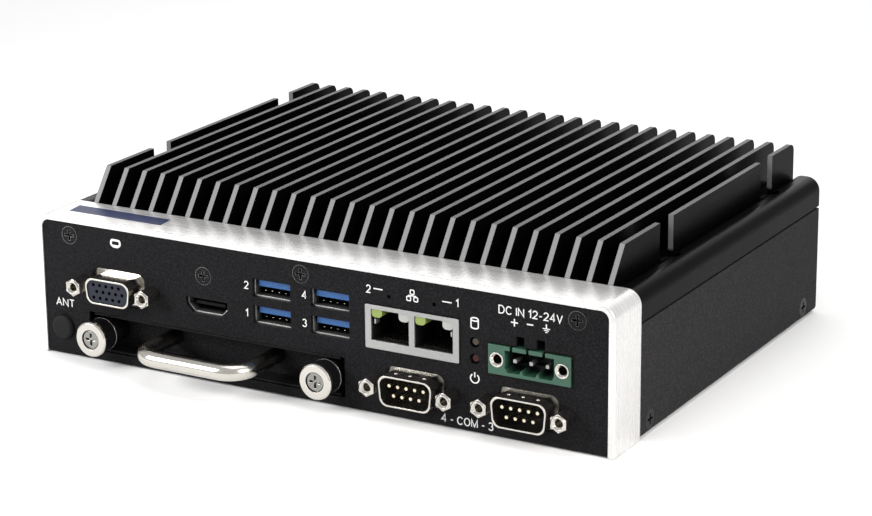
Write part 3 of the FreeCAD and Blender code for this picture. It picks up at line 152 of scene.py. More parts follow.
def setStudio():
    sky = bpy.data.worlds.new("studioSky")
    sky.use_nodes = True
    glow = sky.node_tree.nodes["Background"]
    glow.inputs["Color"].default_value = (1, 1, 1, 1)
    glow.inputs["Strength"].default_value = studio["sky"]
    bpy.context.scene.world = sky
    bpy.context.scene.view_settings.view_transform = "Standard"
    layFloor()
    for name, lamp in softboxes.items():
        addSoftbox(name, **lamp)


setCamera()
setStudio()
print("studio set")


# adds a node; each input is a plain value or another node's socket
def addNode(tree, kind, inputs=None, **settings):
    made = tree.nodes.new(kind)
    for name, value in settings.items():
        setattr(made, name, value)
    for name, value in (inputs or {}).items():
        if isinstance(value, bpy.types.NodeSocket):
            tree.links.new(value, made.inputs[name])
        else:
            made.inputs[name].default_value = value
    return made


# mixes two colours; each is a socket or a plain colour
def blend(tree, share, first, second):
    mixer = addNode(tree, "ShaderNodeMix", data_type="RGBA")
    for place, value in (("Factor_Float", share), ("A_Color", first), ("B_Color", second)):
        socket = next(s for s in mixer.inputs if s.identifier == place)
        if isinstance(value, bpy.types.NodeSocket):
            tree.links.new(value, socket)
        elif place == "Factor_Float":
            socket.default_value = value
        else:
            socket.default_value = (*value, 1)
    return next(s for s in mixer.outputs if s.identifier == "Result_Color")


def stretchRange(tree, value, low, high, toLow=0.0, toHigh=1.0):
    return addNode(tree, "ShaderNodeMapRange", {"Value": value, "From Min": low, "From Max": high,
                                                "To Min": toLow, "To Max": toHigh}).outputs["Result"]


def reckon(tree, operation, first, second=0.0):
    return addNode(tree, "ShaderNodeMath", {0: first, 1: second}, operation=operation).outputs["Value"]


def measure(tree, operation, first, second):
    return addNode(tree, "ShaderNodeVectorMath", {0: first, 1: second}, operation=operation).outputs["Value"]


def splitPlace(tree, place):
    return addNode(tree, "ShaderNodeSeparateXYZ", {"Vector": place}).outputs


def joinPlace(tree, **parts):
    return addNode(tree, "ShaderNodeCombineXYZ", parts).outputs["Vector"]


# a share that rises as the face turns towards an axis
def facing(tree, axis, low, high):
    normal = addNode(tree, "ShaderNodeNewGeometry").outputs["Normal"]
    return stretchRange(tree, measure(tree, "DOT_PRODUCT", normal, axis), low, high)


# distance in the plane of the front from a centre
def awayFrom(tree, place, centre):
    spot = splitPlace(tree, place)
    return measure(tree, "DISTANCE", joinPlace(tree, X=spot["X"], Z=spot["Z"]), centre)


# how every finish reads its noise: "cloud" drifts broadly, "grain" is the fine pattern
texture = {
    "cloudScale": 38.0,           # per metre
    "cloudDetail": 3.0,
    "grainDetail": 2.0,
    "grainRoughness": 0.6,
    "drift": (0.3, 0.7),          # the stretch of the noise over which a value drifts
    "specks": (0.42, 0.72),
    "speckGain": 2.4,
    "speckLift": 0.004,
    "roughDrift": 0.04,
    "bumpDepth": 0.2,             # mm
    "gloss": 0.5,                 # where a finish says nothing else
    "edgeTurn": (0.995, 0.86),    # cosine between the rounded and the true normal
    "patches": (0.35, 0.62),
    # least share of the edge wear and painted highlight in the patchy parts
    "leastWearAndGlint": 0.35,
    "openSky": (0.3, 0.75),       # shares of open surroundings between which the painted shade builds up
    "reach": 3.0,                 # mm over which surroundings count
    "deep": (0.5, 4.5),           # mm behind a panel's face over which painted shade darkens it
    # colour of the painted shade in hollows and deep behind a panel
    "paintedShade": (0.003, 0.003, 0.003),
}

# colour and shade: base colour and how far it drifts; grain: size of the fine pattern in mm, stretched by
# "along"; speck: how much the grain shows in the colour; rough: lowest and highest; round: radius in mm over
# which edges look softened; wearAndGlint and wearAndGlintShare: colour of the edges, partly rubbed wear and
# partly a painted highlight, and how strong; hollowShading: how dark the painted shade in hidden places gets;
# shader: further settings of the shader
finishes = {
    "heatsink_black": dict(colour=(0.0013, 0.0013, 0.0016), shade=0.2, grain=0.5, along=(1, 0.02, 1), speck=0.1,
                           metal=0.0, gloss=0.03, rough=(0.26, 0.34), bump=0.02, round=0.12,
                           wearAndGlint=(0.09, 0.09, 0.09), wearAndGlintShare=0.3),
    "case_black": dict(colour=(0.014, 0.0135, 0.0145), shade=0.12, grain=0.6, speck=0.9, metal=0.0, gloss=0.03,
                       rough=(0.5, 0.62), bump=0.25, round=0.25, wearAndGlint=(0.1, 0.1, 0.1), wearAndGlintShare=0.2),
    # panel_black is the same black powder coat as case_black, coloured darker as painted shade on the front
    # panel
    "panel_black": dict(colour=(0.0052, 0.0049, 0.0056), shade=0.12, grain=0.6, speck=0.9, metal=0.0,
                        gloss=0.06, rough=(0.46, 0.6), bump=0.2, round=0.2, wearAndGlint=(0.1, 0.1, 0.1), wearAndGlintShare=0.2),
    "bezel_silver": dict(colour=(0.7, 0.69, 0.68), shade=0.06, grain=0.3, along=(0.02, 1, 0.02), speck=0.25,
                         metal=0.7, rough=(0.24, 0.36), bump=0.05, round=0.3, wearAndGlint=(0.97, 0.97, 0.96),
                         wearAndGlintShare=0.8),
    "zinc_steel": dict(colour=(0.6, 0.6, 0.61), shade=0.12, grain=0.8, speck=0.2, metal=1.0, rough=(0.32, 0.5),
                       bump=0.03, round=0.15, wearAndGlint=(0.8, 0.8, 0.8), wearAndGlintShare=0.3),
    "screw_black": dict(colour=(0.004, 0.004, 0.0045), shade=0.2, grain=0.3, speck=0.25, metal=0.0, gloss=0.12,
                        rough=(0.22, 0.34), bump=0.06, round=0.14, wearAndGlint=(0.6, 0.6, 0.6), wearAndGlintShare=0.8, hollowShading=0.95,
                        reach=1.0),
    "nickel": dict(colour=(0.57, 0.545, 0.5), shade=0.06, grain=0.4, speck=0.06, metal=1.0, rough=(0.14, 0.24),
                   bump=0.02, round=0.12, wearAndGlint=(0.88, 0.87, 0.84), wearAndGlintShare=0.4, hollowShading=0.6, reach=1.2),
    "socket_steel": dict(colour=(0.33, 0.33, 0.325), shade=0.06, grain=0.5, speck=0.1, metal=0.75,
                         rough=(0.32, 0.45), bump=0.03, round=0.1, wearAndGlint=(0.8, 0.79, 0.77), wearAndGlintShare=0.4,
                         hollowShading=0.97, reach=3.0),
    "plastic_black": dict(colour=(0.006, 0.006, 0.006), shade=0.15, grain=0.15, speck=0.15, metal=0.0,
                          gloss=0.1, rough=(0.42, 0.55), bump=0.08, round=0.12, wearAndGlint=(0.05, 0.05, 0.05),
                          wearAndGlintShare=0.4, hollowShading=0.9),
    "plastic_blue": dict(colour=(0.03, 0.125, 0.36), shade=0.08, grain=0.2, speck=0.08, metal=0.0, gloss=0.35,
                         rough=(0.35, 0.48), bump=0.05, round=0.12, wearAndGlint=(0.15, 0.36, 0.7), wearAndGlintShare=0.3,
                         hollowShading=0.9),
    "gold_contacts": dict(colour=(0.7, 0.62, 0.45), shade=0.1, grain=0.3, speck=0.1, metal=1.0,
                          rough=(0.16, 0.28), bump=0.02, round=0.06, wearAndGlint=(0.92, 0.85, 0.7), wearAndGlintShare=0.5,
                          hollowShading=0.55),
    "terminal_green": dict(colour=(0.027, 0.08, 0.052), shade=0.1, grain=0.25, speck=0.1, metal=0.0, gloss=0.4,
                           rough=(0.34, 0.46), bump=0.06, round=0.2, wearAndGlint=(0.12, 0.3, 0.2), wearAndGlintShare=0.5,
                           hollowShading=0.96, reach=5.0),
    "blank_rubber": dict(colour=(0.0065, 0.0065, 0.007), shade=0.2, grain=0.3, speck=0.3, metal=0.0, gloss=0.15,
                         rough=(0.6, 0.75), bump=0.12, round=0.3, wearAndGlint=(0.05, 0.05, 0.05), wearAndGlintShare=0.4),
    "board_green": dict(colour=(0.02, 0.12, 0.06), shade=0.2, grain=1.6, speck=0.4, metal=0.0,
                        rough=(0.3, 0.45), bump=0.05, round=0.1, wearAndGlint=(0.3, 0.26, 0.12), wearAndGlintShare=0.4),
    "inside_aluminium": dict(colour=(0.72, 0.72, 0.72), shade=0.06, grain=0.4, along=(0.03, 1, 1), speck=0.15,
                             metal=1.0, rough=(0.3, 0.42), bump=0.05, round=0.2, wearAndGlint=(0.85, 0.85, 0.85),
                             wearAndGlintShare=0.4),
    "drive_case": dict(colour=(0.5, 0.51, 0.53), shade=0.08, grain=0.4, speck=0.1, metal=0.9,
                       rough=(0.34, 0.46), bump=0.05, round=0.2, wearAndGlint=(0.7, 0.7, 0.7), wearAndGlintShare=0.4),
    "cell_steel": dict(colour=(0.74, 0.74, 0.73), shade=0.06, grain=0.3, along=(0.05, 1, 1), speck=0.12,
                       metal=1.0, rough=(0.22, 0.34), bump=0.03, round=0.2, wearAndGlint=(0.85, 0.85, 0.85), wearAndGlintShare=0.3),
    "lamp_lens": dict(colour=(0.15, 0.1, 0.07), shade=0.1, grain=0.3, speck=0.05, metal=0.0, gloss=0.2,
                      rough=(0.16, 0.26), bump=0.03, round=0.3, wearAndGlint=(0.3, 0.25, 0.2), wearAndGlintShare=0.2, hollowShading=0.3,
                      shader={"Coat Weight": 0.12, "Coat Roughness": 0.08}),
    "light_pipe": dict(colour=(0.5, 0.6, 0.3), shade=0.08, grain=0.3, speck=0.05, metal=0.0, rough=(0.25, 0.36),
                       bump=0.02, round=0.1, wearAndGlint=(0.8, 0.85, 0.7), wearAndGlintShare=0.4, hollowShading=0.6),
    "marking_white": dict(colour=(0.62, 0.62, 0.61), shade=0.06, grain=0.12, speck=0.1, metal=0.0,
                          rough=(0.5, 0.6), bump=0.03, round=0.02, wearAndGlint=(0.5, 0.5, 0.5), wearAndGlintShare=0.2),
    "badge_blue": dict(colour=(0.01, 0.016, 0.06), shade=0.12, grain=0.2, speck=0.15, metal=0.0, gloss=0.3,
                       rough=(0.38, 0.5), bump=0.04, round=0.04, wearAndGlint=(0.2, 0.23, 0.4), wearAndGlintShare=0.4),
}


def fineGrain(tree, place, look):
    along = look.get("along", (1, 1, 1))
    turned = addNode(tree, "ShaderNodeMapping", {"Vector": place, "Scale": along}).outputs["Vector"]
    return addNode(tree, "ShaderNodeTexNoise", {"Vector": turned, "Scale": 1 / (look["grain"] * mm),
                                                "Detail": texture["grainDetail"],
                                                "Roughness": texture["grainRoughness"]}).outputs["Fac"]


# the bevel's own normal, and a share of paler edge colour where it leaves the true face: partly rubbed wear,
# partly a painted highlight on the edges
def wornAndGlintingEdges(tree, look, cloud):
    soft = addNode(tree, "ShaderNodeBevel", {"Radius": look["round"] * mm}, samples=4).outputs["Normal"]
    true = addNode(tree, "ShaderNodeNewGeometry").outputs["Normal"]
    edge = stretchRange(tree, measure(tree, "DOT_PRODUCT", soft, true), *texture["edgeTurn"])
    patchy = stretchRange(tree, cloud, *texture["patches"], texture["leastWearAndGlint"], 1.0)
    return soft, reckon(tree, "MULTIPLY", reckon(tree, "MULTIPLY", edge, patchy), look["wearAndGlintShare"])


# painted shade in the places that little light reaches, and everywhere deep behind a panel
def paintRecessShade(tree, colour, place, look):
    reach = look.get("reach", texture["reach"]) * mm
    reached = addNode(tree, "ShaderNodeAmbientOcclusion", {"Distance": reach}, samples=8).outputs["AO"]
    shut = stretchRange(tree, reached, *texture["openSky"], look["hollowShading"], 0.0)
    fromMiddle = reckon(tree, "ABSOLUTE", splitPlace(tree, place)["Y"])
    shallow, deepest = (-panelFront - depth * mm for depth in texture["deep"])
    deep = stretchRange(tree, fromMiddle, shallow, deepest, 0.0, look["hollowShading"])
    return blend(tree, reckon(tree, "MAXIMUM", shut, deep), colour, texture["paintedShade"])


# base colour with its drift and its specks
def baseColour(tree, look, cloud, grain):
    dark = tuple(c * (1 - look["shade"]) for c in look["colour"])
    light = tuple(min(c * (1 + look["shade"]), 1) for c in look["colour"])
    colour = blend(tree, stretchRange(tree, cloud, *texture["drift"]), dark, light)
    specks = stretchRange(tree, grain, *texture["specks"], 0.0, look["speck"])
    bright = tuple(min(c * texture["speckGain"] + texture["speckLift"], 1) for c in look["colour"])
    return blend(tree, specks, colour, bright)


# one painted, plated or moulded finish; recolour may change the base colour by place
def makeFinish(name, look, recolour=None):
    finish = bpy.data.materials.new(name + "_finish")
    finish.use_nodes = True
    tree = finish.node_tree
    tree.nodes.clear()
    place = addNode(tree, "ShaderNodeTexCoord").outputs["Object"]
    cloud = addNode(tree, "ShaderNodeTexNoise", {"Vector": place, "Scale": texture["cloudScale"],
                                                 "Detail": texture["cloudDetail"]}).outputs["Fac"]
    grain = fineGrain(tree, place, look)
    colour = baseColour(tree, look, cloud, grain)
    if recolour:
        colour = recolour(tree, place, colour)
    soft, share = wornAndGlintingEdges(tree, look, cloud)
    # edges get a paler colour: partly wear, partly a painted highlight
    colour = blend(tree, share, colour, look["wearAndGlint"])
    # painted shade darkens hollows and everything deep behind the panel's face
    if "hollowShading" in look:
        colour = paintRecessShade(tree, colour, place, look)
    drift = stretchRange(tree, grain, *texture["drift"], *look["rough"])
    patch = stretchRange(tree, cloud, *texture["drift"], -texture["roughDrift"], texture["roughDrift"])
    bump = addNode(tree, "ShaderNodeBump", {"Height": grain, "Strength": look["bump"], "Normal": soft,
                                            "Distance": texture["bumpDepth"] * mm}).outputs["Normal"]
    shader = addNode(tree, "ShaderNodeBsdfPrincipled", {
        "Base Color": colour, "Normal": bump, "Roughness": reckon(tree, "ADD", drift, patch),
        "Metallic": look["metal"], "Specular IOR Level": look.get("gloss", texture["gloss"])})
    for socket, value in look.get("shader", {}).items():
        shader.inputs[socket].default_value = value
    addNode(tree, "ShaderNodeOutputMaterial", {"Surface": shader.outputs["BSDF"]})
    return finish


finTones = {
    "slope": (0, -0.94, 0.34),     # which way the sawn fronts face
    "slopeTurn": (0.9, 0.97),
    "slopeStart": 1.0,             # mm below the band's top over which the slopes begin
    "sawn": (0.25, 0.25, 0.25),
    "tipTurn": (0.95, 0.99),
    "tipBand": (1.2, 0.4),         # mm below the fins' top
    # painted sheen along the fins' tips
    "tip": (0.055, 0.055, 0.055),
}


# the sawn front slopes of the fins are paler than their sides, and the tips get a painted sheen in a paler
# colour
def sawnSlopesAndTipSheen(tree, place, colour):
    height = splitPlace(tree, place)["Z"]
    bandTop = edges("front_bezel")[1].z
    aboveBand = stretchRange(tree, height, bandTop - finTones["slopeStart"] * mm, bandTop)
    slope = facing(tree, finTones["slope"], *finTones["slopeTurn"])
    colour = blend(tree, reckon(tree, "MULTIPLY", slope, aboveBand), colour, finTones["sawn"])
    tip = facing(tree, (0, 0, 1), *finTones["tipTurn"])
    finTop = edges("heatsink_cover")[1].z
    high = stretchRange(tree, height, *(finTop - drop * mm for drop in finTones["tipBand"]))
    # painted sheen: the upward tips of the fins are coloured paler
    return blend(tree, reckon(tree, "MULTIPLY", tip, high), colour, finTones["tip"])


lampTones = {
    "lower": (0.035, 0.002, 0.002),
    "upper": (0.055, 0.044, 0.03),
    "rim": (0.004, 0.003, 0.003),
    "rimBand": (0.6, 0.72),        # shares of the lens's radius
    "blur": 0.1,                   # mm
}


# the upper lamp is smoky yellow, the lower one dark red, and both darken towards the rim
def lampColours(tree, place, colour):
    low, high = edges("status_lamps")
    radius = (high.x - low.x) / 2
    level = middle("status_lamps", 2)
    blur = lampTones["blur"] * mm
    upper = stretchRange(tree, splitPlace(tree, place)["Z"], level - blur, level + blur)
    height = stretchRange(tree, upper, 0, 1, low.z + radius, high.z - radius)
    centre = joinPlace(tree, X=middle("status_lamps", 0), Z=height)
    away = awayFrom(tree, place, centre)
    rim = stretchRange(tree, away, *(radius * share for share in lampTones["rimBand"]))
    return blend(tree, rim, blend(tree, upper, lampTones["lower"], lampTones["upper"]), lampTones["rim"])


insulatorTones = {"display": (0.022, 0.024, 0.034), "beyond": (1.0, 2.0)}    # mm beyond the body


# the body of the display socket is a dull blue-grey, unlike the other black plastic
def insulatorColours(tree, place, colour):
    low, high = edges("display_insulator")
    near, far = (gap * mm for gap in insulatorTones["beyond"])
    spot = splitPlace(tree, place)
    across = stretchRange(tree, spot["X"], high.x + near, high.x + far, 1.0, 0.0)
    upper = stretchRange(tree, spot["Z"], low.z - far, low.z - near)
    return blend(tree, reckon(tree, "MULTIPLY", across, upper), colour, insulatorTones["display"])


pipeTones = {"green": (0.2, 0.26, 0.06), "clear": (0.34, 0.34, 0.32), "blur": 0.5}    # blur in mm


# each mouth has a green pipe on its left and a clear one on its right
def pipeColours(tree, place, colour):
    low, high = edges("lan_light_pipes")
    wide = high.x - low.x
    blur = pipeTones["blur"] * mm
    across = splitPlace(tree, place)["X"]
    folded = reckon(tree, "GREATER_THAN", across, middle("lan_light_pipes", 0))
    local = reckon(tree, "SUBTRACT", across, stretchRange(tree, folded, 0, 1, 0, wide / 2))
    right = stretchRange(tree, local, low.x + wide / 4 - blur, low.x + wide / 4 + blur)
    return blend(tree, right, pipeTones["green"], pipeTones["clear"])


rimHighlightTones = {
    # colour of the painted highlight on the front rims
    "rim": (0.9, 0.9, 0.88),
    "beyond": (1.0, 2.0),          # mm right of the last stamped shell
    "sunk": (1.4, 1.6),            # mm behind the panel's face
    "turn": (0.6, 0.9),
}


# painted highlight: the front rims of the stamped shells are coloured bright, the frame of the network socket
# is not
def rimHighlights(tree, place, colour):
    spot = splitPlace(tree, place)
    last = edges("bus_shell_34")[1].x
    stamped = stretchRange(tree, spot["X"], *(last + gap * mm for gap in rimHighlightTones["beyond"]), 1.0, 0.0)
    outer = stretchRange(tree, spot["Y"], *(panelFront + depth * mm for depth in rimHighlightTones["sunk"]), 1.0, 0.0)
    ahead = facing(tree, (0, -1, 0), *rimHighlightTones["turn"])
    # the bright colour stands in for a highlight on the forward-facing rim
    rim = reckon(tree, "MULTIPLY", reckon(tree, "MULTIPLY", stamped, outer), ahead)
    return blend(tree, rim, colour, rimHighlightTones["rim"])


# painted shade in the recess of each thumbscrew head
thumbscrewRecessShadeTones = {"shaded": (0.27, 0.265, 0.25), "edge": (2.9, 3.1)}    # mm from the screw's axis


# painted shade: the turned recess in each thumbscrew head is coloured darker than the head
def thumbscrewRecessShade(tree, place, colour):
    for knob in ("left_thumbscrew", "right_thumbscrew"):
        away = awayFrom(tree, place, (middle(knob, 0), 0, middle(knob, 2)))
        near = stretchRange(tree, away, *(radius * mm for radius in thumbscrewRecessShadeTones["edge"]), 1.0, 0.0)
        colour = blend(tree, near, colour, thumbscrewRecessShadeTones["shaded"])
    return colour


recolours = {"heatsink_black": sawnSlopesAndTipSheen, "lamp_lens": lampColours, "light_pipe": pipeColours,
             "plastic_black": insulatorColours, "socket_steel": rimHighlights, "nickel": thumbscrewRecessShade}
looks = {name: makeFinish(name, look, recolours.get(name)) for name, look in finishes.items()}

for name, piece in nodes.items():
    piece.data.materials.clear()
    piece.data.materials.append(looks[slotOf[name]])
print("finishes made:", len(looks))


# rides a finished mesh piece on its body
def keepPiece(piece, body):
    if piece.name not in bpy.context.scene.collection.objects:
        bpy.context.scene.collection.objects.link(piece)
    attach(piece, body)


def meshPiece(name, verts, faces, finish):
    mesh = bpy.data.meshes.new(name)
    mesh.from_pydata([tuple(v) for v in verts], [], faces)
    mesh.materials.append(looks[finish])
    mesh.update()
    return bpy.data.objects.new(name, mesh)


# puts shapes, each its vertices and faces, into one list of each
def gather(shapes):
    verts, faces = [], []
    for points, rings in shapes:
        first = len(verts)
        verts += points
        faces += [tuple(first + i for i in ring) for ring in rings]
    return verts, faces


# joins shapes into one piece with its faces outward
def joinShapes(name, shapes, finish, body, rounding=0):
    piece = meshPiece(name, *gather(shapes), finish)
    form = bmesh.new()
    form.from_mesh(piece.data)
    if rounding:
        bmesh.ops.bevel(form, geom=form.edges[:], offset=rounding, segments=2, profile=0.5, affect="EDGES")
    bmesh.ops.recalc_face_normals(form, faces=form.faces)
    form.to_mesh(piece.data)
    form.free()
    keepPiece(piece, body)


# gives a tree the inputs that every row has, and the measures that this one takes
def treeInputs(tree, measures):
    wanted = [("Geometry", "Geometry"), ("Count", "Int")]
    wanted += [(name, "Float") for name in measures] + [("Finish", "Material")]
    for name, kind in wanted:
        tree.interface.new_socket(name, in_out="INPUT", socket_type="NodeSocket" + kind)
    tree.interface.new_socket("Geometry", in_out="OUTPUT", socket_type="NodeSocketGeometry")
    return addNode(tree, "NodeGroupInput").outputs


# realizes what was instanced and gives it its finish
def closeTree(tree, grown, finish):
    solid = addNode(tree, "GeometryNodeRealizeInstances", {"Geometry": grown}).outputs["Geometry"]
    dressed = addNode(tree, "GeometryNodeSetMaterial", {"Geometry": solid, "Material": finish})
    addNode(tree, "NodeGroupOutput", {"Geometry": dressed.outputs["Geometry"]})


# a row of one shape along X, centred, on every place of the base mesh
def rowOf(tree, given, shape):
    span = reckon(tree, "MULTIPLY", reckon(tree, "SUBTRACT", given["Count"], 1.0), given["Pitch"])
    start = reckon(tree, "MULTIPLY", span, -0.5)
    line = addNode(tree, "GeometryNodeMeshLine", {
        "Count": given["Count"],
        "Start Location": joinPlace(tree, X=start),
        "Offset": joinPlace(tree, X=given["Pitch"])}).outputs["Mesh"]
    row = addNode(tree, "GeometryNodeInstanceOnPoints", {"Points": line, "Instance": shape})
    rows = addNode(tree, "GeometryNodeInstanceOnPoints", {"Points": given["Geometry"],
                                                          "Instance": row.outputs["Instances"]})
    return rows.outputs["Instances"]


# bent spring contacts: each rises from its foot over Reach and Rise
def contactTree():
    tree = bpy.data.node_groups.new("springContacts", "GeometryNodeTree")
    given = treeInputs(tree, ("Pitch", "Reach", "Rise", "Belly", "Width", "Thickness"))
    halfway = reckon(tree, "MULTIPLY", given["Reach"], 0.5)
    route = addNode(tree, "GeometryNodeCurveQuadraticBezier", {
        "Resolution": 8, "Start": (0, 0, 0),
        "Middle": joinPlace(tree, Y=halfway, Z=given["Belly"]),
        "End": joinPlace(tree, Y=given["Reach"], Z=given["Rise"])}).outputs["Curve"]
    section = addNode(tree, "GeometryNodeCurvePrimitiveQuadrilateral",
                      {"Width": given["Width"], "Height": given["Thickness"]}).outputs["Curve"]
    wire = addNode(tree, "GeometryNodeCurveToMesh", {"Curve": route, "Profile Curve": section,
                                                     "Fill Caps": True}).outputs["Mesh"]
    closeTree(tree, rowOf(tree, given, wire), given["Finish"])
    return tree


# small pressed bumps in a row
def dimpleTree():
    tree = bpy.data.node_groups.new("pressedDimples", "GeometryNodeTree")
    given = treeInputs(tree, ("Pitch", "Radius", "Flatness"))
    ball = addNode(tree, "GeometryNodeMeshUVSphere", {"Segments": 16, "Rings": 10, "Radius": given["Radius"]})
    squat = joinPlace(tree, X=1.0, Y=1.0, Z=given["Flatness"])
    bump = addNode(tree, "GeometryNodeTransform", {"Geometry": ball.outputs["Mesh"], "Scale": squat})
    smooth = addNode(tree, "GeometryNodeSetShadeSmooth", {"Geometry": bump.outputs["Geometry"]})
    closeTree(tree, rowOf(tree, given, smooth.outputs["Geometry"]), given["Finish"])
    return tree


# runs a tree on a base mesh of bare points and keeps the result as a plain mesh
def growPiece(name, places, tree, values, body, slot):
    piece = meshPiece(name, places, [], slot)
    bpy.context.scene.collection.objects.link(piece)
    grower = piece.modifiers.new(tree.name, "NODES")
    grower.node_group = tree
    values = dict(values, Finish=looks[slot])
    for item in tree.interface.items_tree:
        if item.in_out == "INPUT" and item.name in values:
            grower[item.identifier] = values[item.name]
    bpy.context.view_layer.update()
    seen = piece.evaluated_get(bpy.context.evaluated_depsgraph_get())
    plain = bpy.data.meshes.new_from_object(seen)
    piece.modifiers.clear()
    piece.data = plain
    keepPiece(piece, body)


# printed marks, in mm in the plane of the panel
marks = {
    "lift": 0.04,          # the ink stands this far off the paint
    "step": 0.002,         # each further stroke lies this much higher
    "line": 0.4,           # width of a line in a sign
    "fine": 0.36,          # of a dash, and round the boxes of the network sign
    "thin": 0.32,          # between those boxes
    "bold": 0.68,          # round the screen of the display sign
    "stroke": 0.34,        # width of a line in a letter
    "letterGap": 0.26,     # between letters, in letter heights
    "capHeight": 2.2,
    "sharpest": 0.4,       # keeps the mitre of a sharp corner short
    "weld": 1e-7,          # metres
}


# a flat band of even width along points in the plane, as vertices and faces
def ribbon(points, width, closed=False):
    points = [Vector(p) for p in points]
    count = len(points)
    verts, faces = [], []
    for i, here in enumerate(points):
        before = points[i - 1] if (i or closed) else None
        after = points[(i + 1) % count] if (i + 1 < count or closed) else None
        into = (here - before).normalized() if before is not None else (after - here).normalized()
        out = (after - here).normalized() if after is not None else into
        side = Vector((-(into.y + out.y), into.x + out.x)).normalized()
        reach = width / 2 / max(side.dot(Vector((-into.y, into.x))), marks["sharpest"])
        verts += [here + side * reach, here - side * reach]
    for i in range(count if closed else count - 1):
        a, b = 2 * i, 2 * ((i + 1) % count)
        faces.append((a, a + 1, b + 1, b))
    return verts, faces


# points along part of an ellipse, angles in degrees
def bow(centre, radii, start, end, steps=14):
    turns = [math.radians(start + (end - start) * i / steps) for i in range(steps + 1)]
    return [(centre[0] + radii[0] * math.cos(t), centre[1] + radii[1] * math.sin(t)) for t in turns]


def roundedBox(centre, width, height, radius, steps=4):
    x, z = width / 2 - radius, height / 2 - radius
    ring = []
    for sx, sz, start in ((1, 1, 0), (-1, 1, 90), (-1, -1, 180), (1, -1, 270)):
        ring += bow((centre[0] + sx * x, centre[1] + sz * z), (radius, radius), start, start + 90, steps)
    return ring


# each letter in units of its height: its width and the strokes that a sign writer would draw
letters = {
    "A": (0.74, [[(0, 0), (0.37, 1), (0.74, 0)], [(0.15, 0.35), (0.59, 0.35)]]),
    "N": (0.68, [[(0, 0), (0, 1), (0.68, 0), (0.68, 1)]]),
    "T": (0.66, [[(0, 1), (0.66, 1)], [(0.33, 0.94), (0.33, 0)]]),
    "D": (0.68, [[(0.28, 0), (0, 0), (0, 1), (0.28, 1)] + bow((0.28, 0.5), (0.4, 0.5), 80, -80) + [(0.28, 0)]]),
    "C": (0.7, [bow((0.37, 0.5), (0.37, 0.5), 38, 322)]),
    "I": (0.0, [[(0, 0), (0, 1)]]),
    "V": (0.68, [[(0, 1), (0.34, 0), (0.68, 1)]]),
    "O": (0.76, [bow((0.38, 0.5), (0.38, 0.5), 90, 450)]),
    "M": (0.78, [[(0, 0), (0, 1), (0.39, 0.05), (0.78, 1), (0.78, 0)]]),
    "1": (0.3, [[(0.0, 0.74), (0.26, 1), (0.26, 0)]]),
    "2": (0.56, [bow((0.28, 0.71), (0.27, 0.29), 170, -28) + [(0.02, 0.02), (0.58, 0.02)]]),
    "3": (0.56, [bow((0.27, 0.75), (0.25, 0.25), 160, -75), bow((0.27, 0.27), (0.29, 0.27), 82, -160)]),
    "4": (0.6, [[(0.44, 0), (0.44, 1), (0, 0.3), (0.6, 0.3)]]),
    "-": (0.34, [[(0, 0.4), (0.34, 0.4)]]),
    " ": (0.12, []),
}


# a word as flat bands, centred on a place; width is that of the whole word, or follows from the height
def wordShape(word, centre, width=None):
    height = marks["capHeight"]
    pens = [0.0]
    for letter in word:
        pens.append(pens[-1] + letters[letter][0] + marks["letterGap"])
    whole = pens[-1] - marks["letterGap"]
    wide = width / whole if width else height
    drawn = []
    for letter, pen in zip(word, pens):
        for stroke in letters[letter][1]:
            drawn.append(ribbon([(centre[0] + (x + pen - whole / 2) * wide, centre[1] + (y - 0.5) * height)
                                 for x, y in stroke], marks["stroke"]))
    return drawn


# each sign's sizes in mm, about the place where it stands; lid, base and turn are two angles and the steps
# between them
signs = {
    "display": dict(rise=0.15, width=3.2, high=1.8, corner=0.7, foot=1.0, drop=1.1),
    "network": dict(box=1.25, corner=0.3, upper=1.05, lower=0.95, apart=1.15, stem=(0.3, -0.05),
                    arms=(-0.3, -0.02)),
    "drive": dict(half=1.15, oval=0.5, high=1.1, lid=(0, 345, 23), base=(180, 360, 12)),
    "power": dict(radius=1.35, turn=(125, 415, 26), stem=(0.3, 1.85)),
    "plus": dict(half=1.1),
    "minus": dict(half=1.0),
    "ground": dict(stem=(1.2, -0.1), bars=((0.1, 1.15), (0.62, 0.75), (1.14, 0.35)), line=0.28),
}


def levelLine(x, z, half, width):
    return ribbon([(x - half, z), (x + half, z)], width)


def uprightLine(x, z, ends, width):
    return ribbon([(x, z + end) for end in ends], width)


def displaySign(x, z):
    size = signs["display"]
    return [ribbon(roundedBox((x, z + size["rise"]), size["width"], size["high"], size["corner"]),
                   marks["bold"], True),
            levelLine(x, z - size["drop"], size["foot"], marks["line"])]


def networkSign(x, z):
    size = signs["network"]
    apart = size["apart"]
    foot, bar = (z + rise for rise in size["arms"])
    centres = [(x, z + size["upper"]), (x - apart, z - size["lower"]), (x + apart, z - size["lower"])]
    drawn = [ribbon(roundedBox(centre, size["box"], size["box"], size["corner"]), marks["fine"], True)
             for centre in centres]
    drawn.append(uprightLine(x, z, size["stem"], marks["thin"]))
    arms = [(x - apart, foot), (x - apart, bar), (x + apart, bar), (x + apart, foot)]
    drawn.append(ribbon(arms, marks["thin"]))
    return drawn


def driveSign(x, z):
    size = signs["drive"]
    half, high, line = size["half"], size["high"], marks["line"]
    ovals = (half, size["oval"])
    return [ribbon(bow((x, z + high), ovals, *size["lid"]), line, True),
            uprightLine(x - half, z, (high, -high), line),
            uprightLine(x + half, z, (high, -high), line),
            ribbon(bow((x, z - high), ovals, *size["base"]), line)]


def powerSign(x, z):
    size = signs["power"]
    radii = (size["radius"], size["radius"])
    return [ribbon(bow((x, z), radii, *size["turn"]), marks["line"]),
            uprightLine(x, z, size["stem"], marks["line"])]


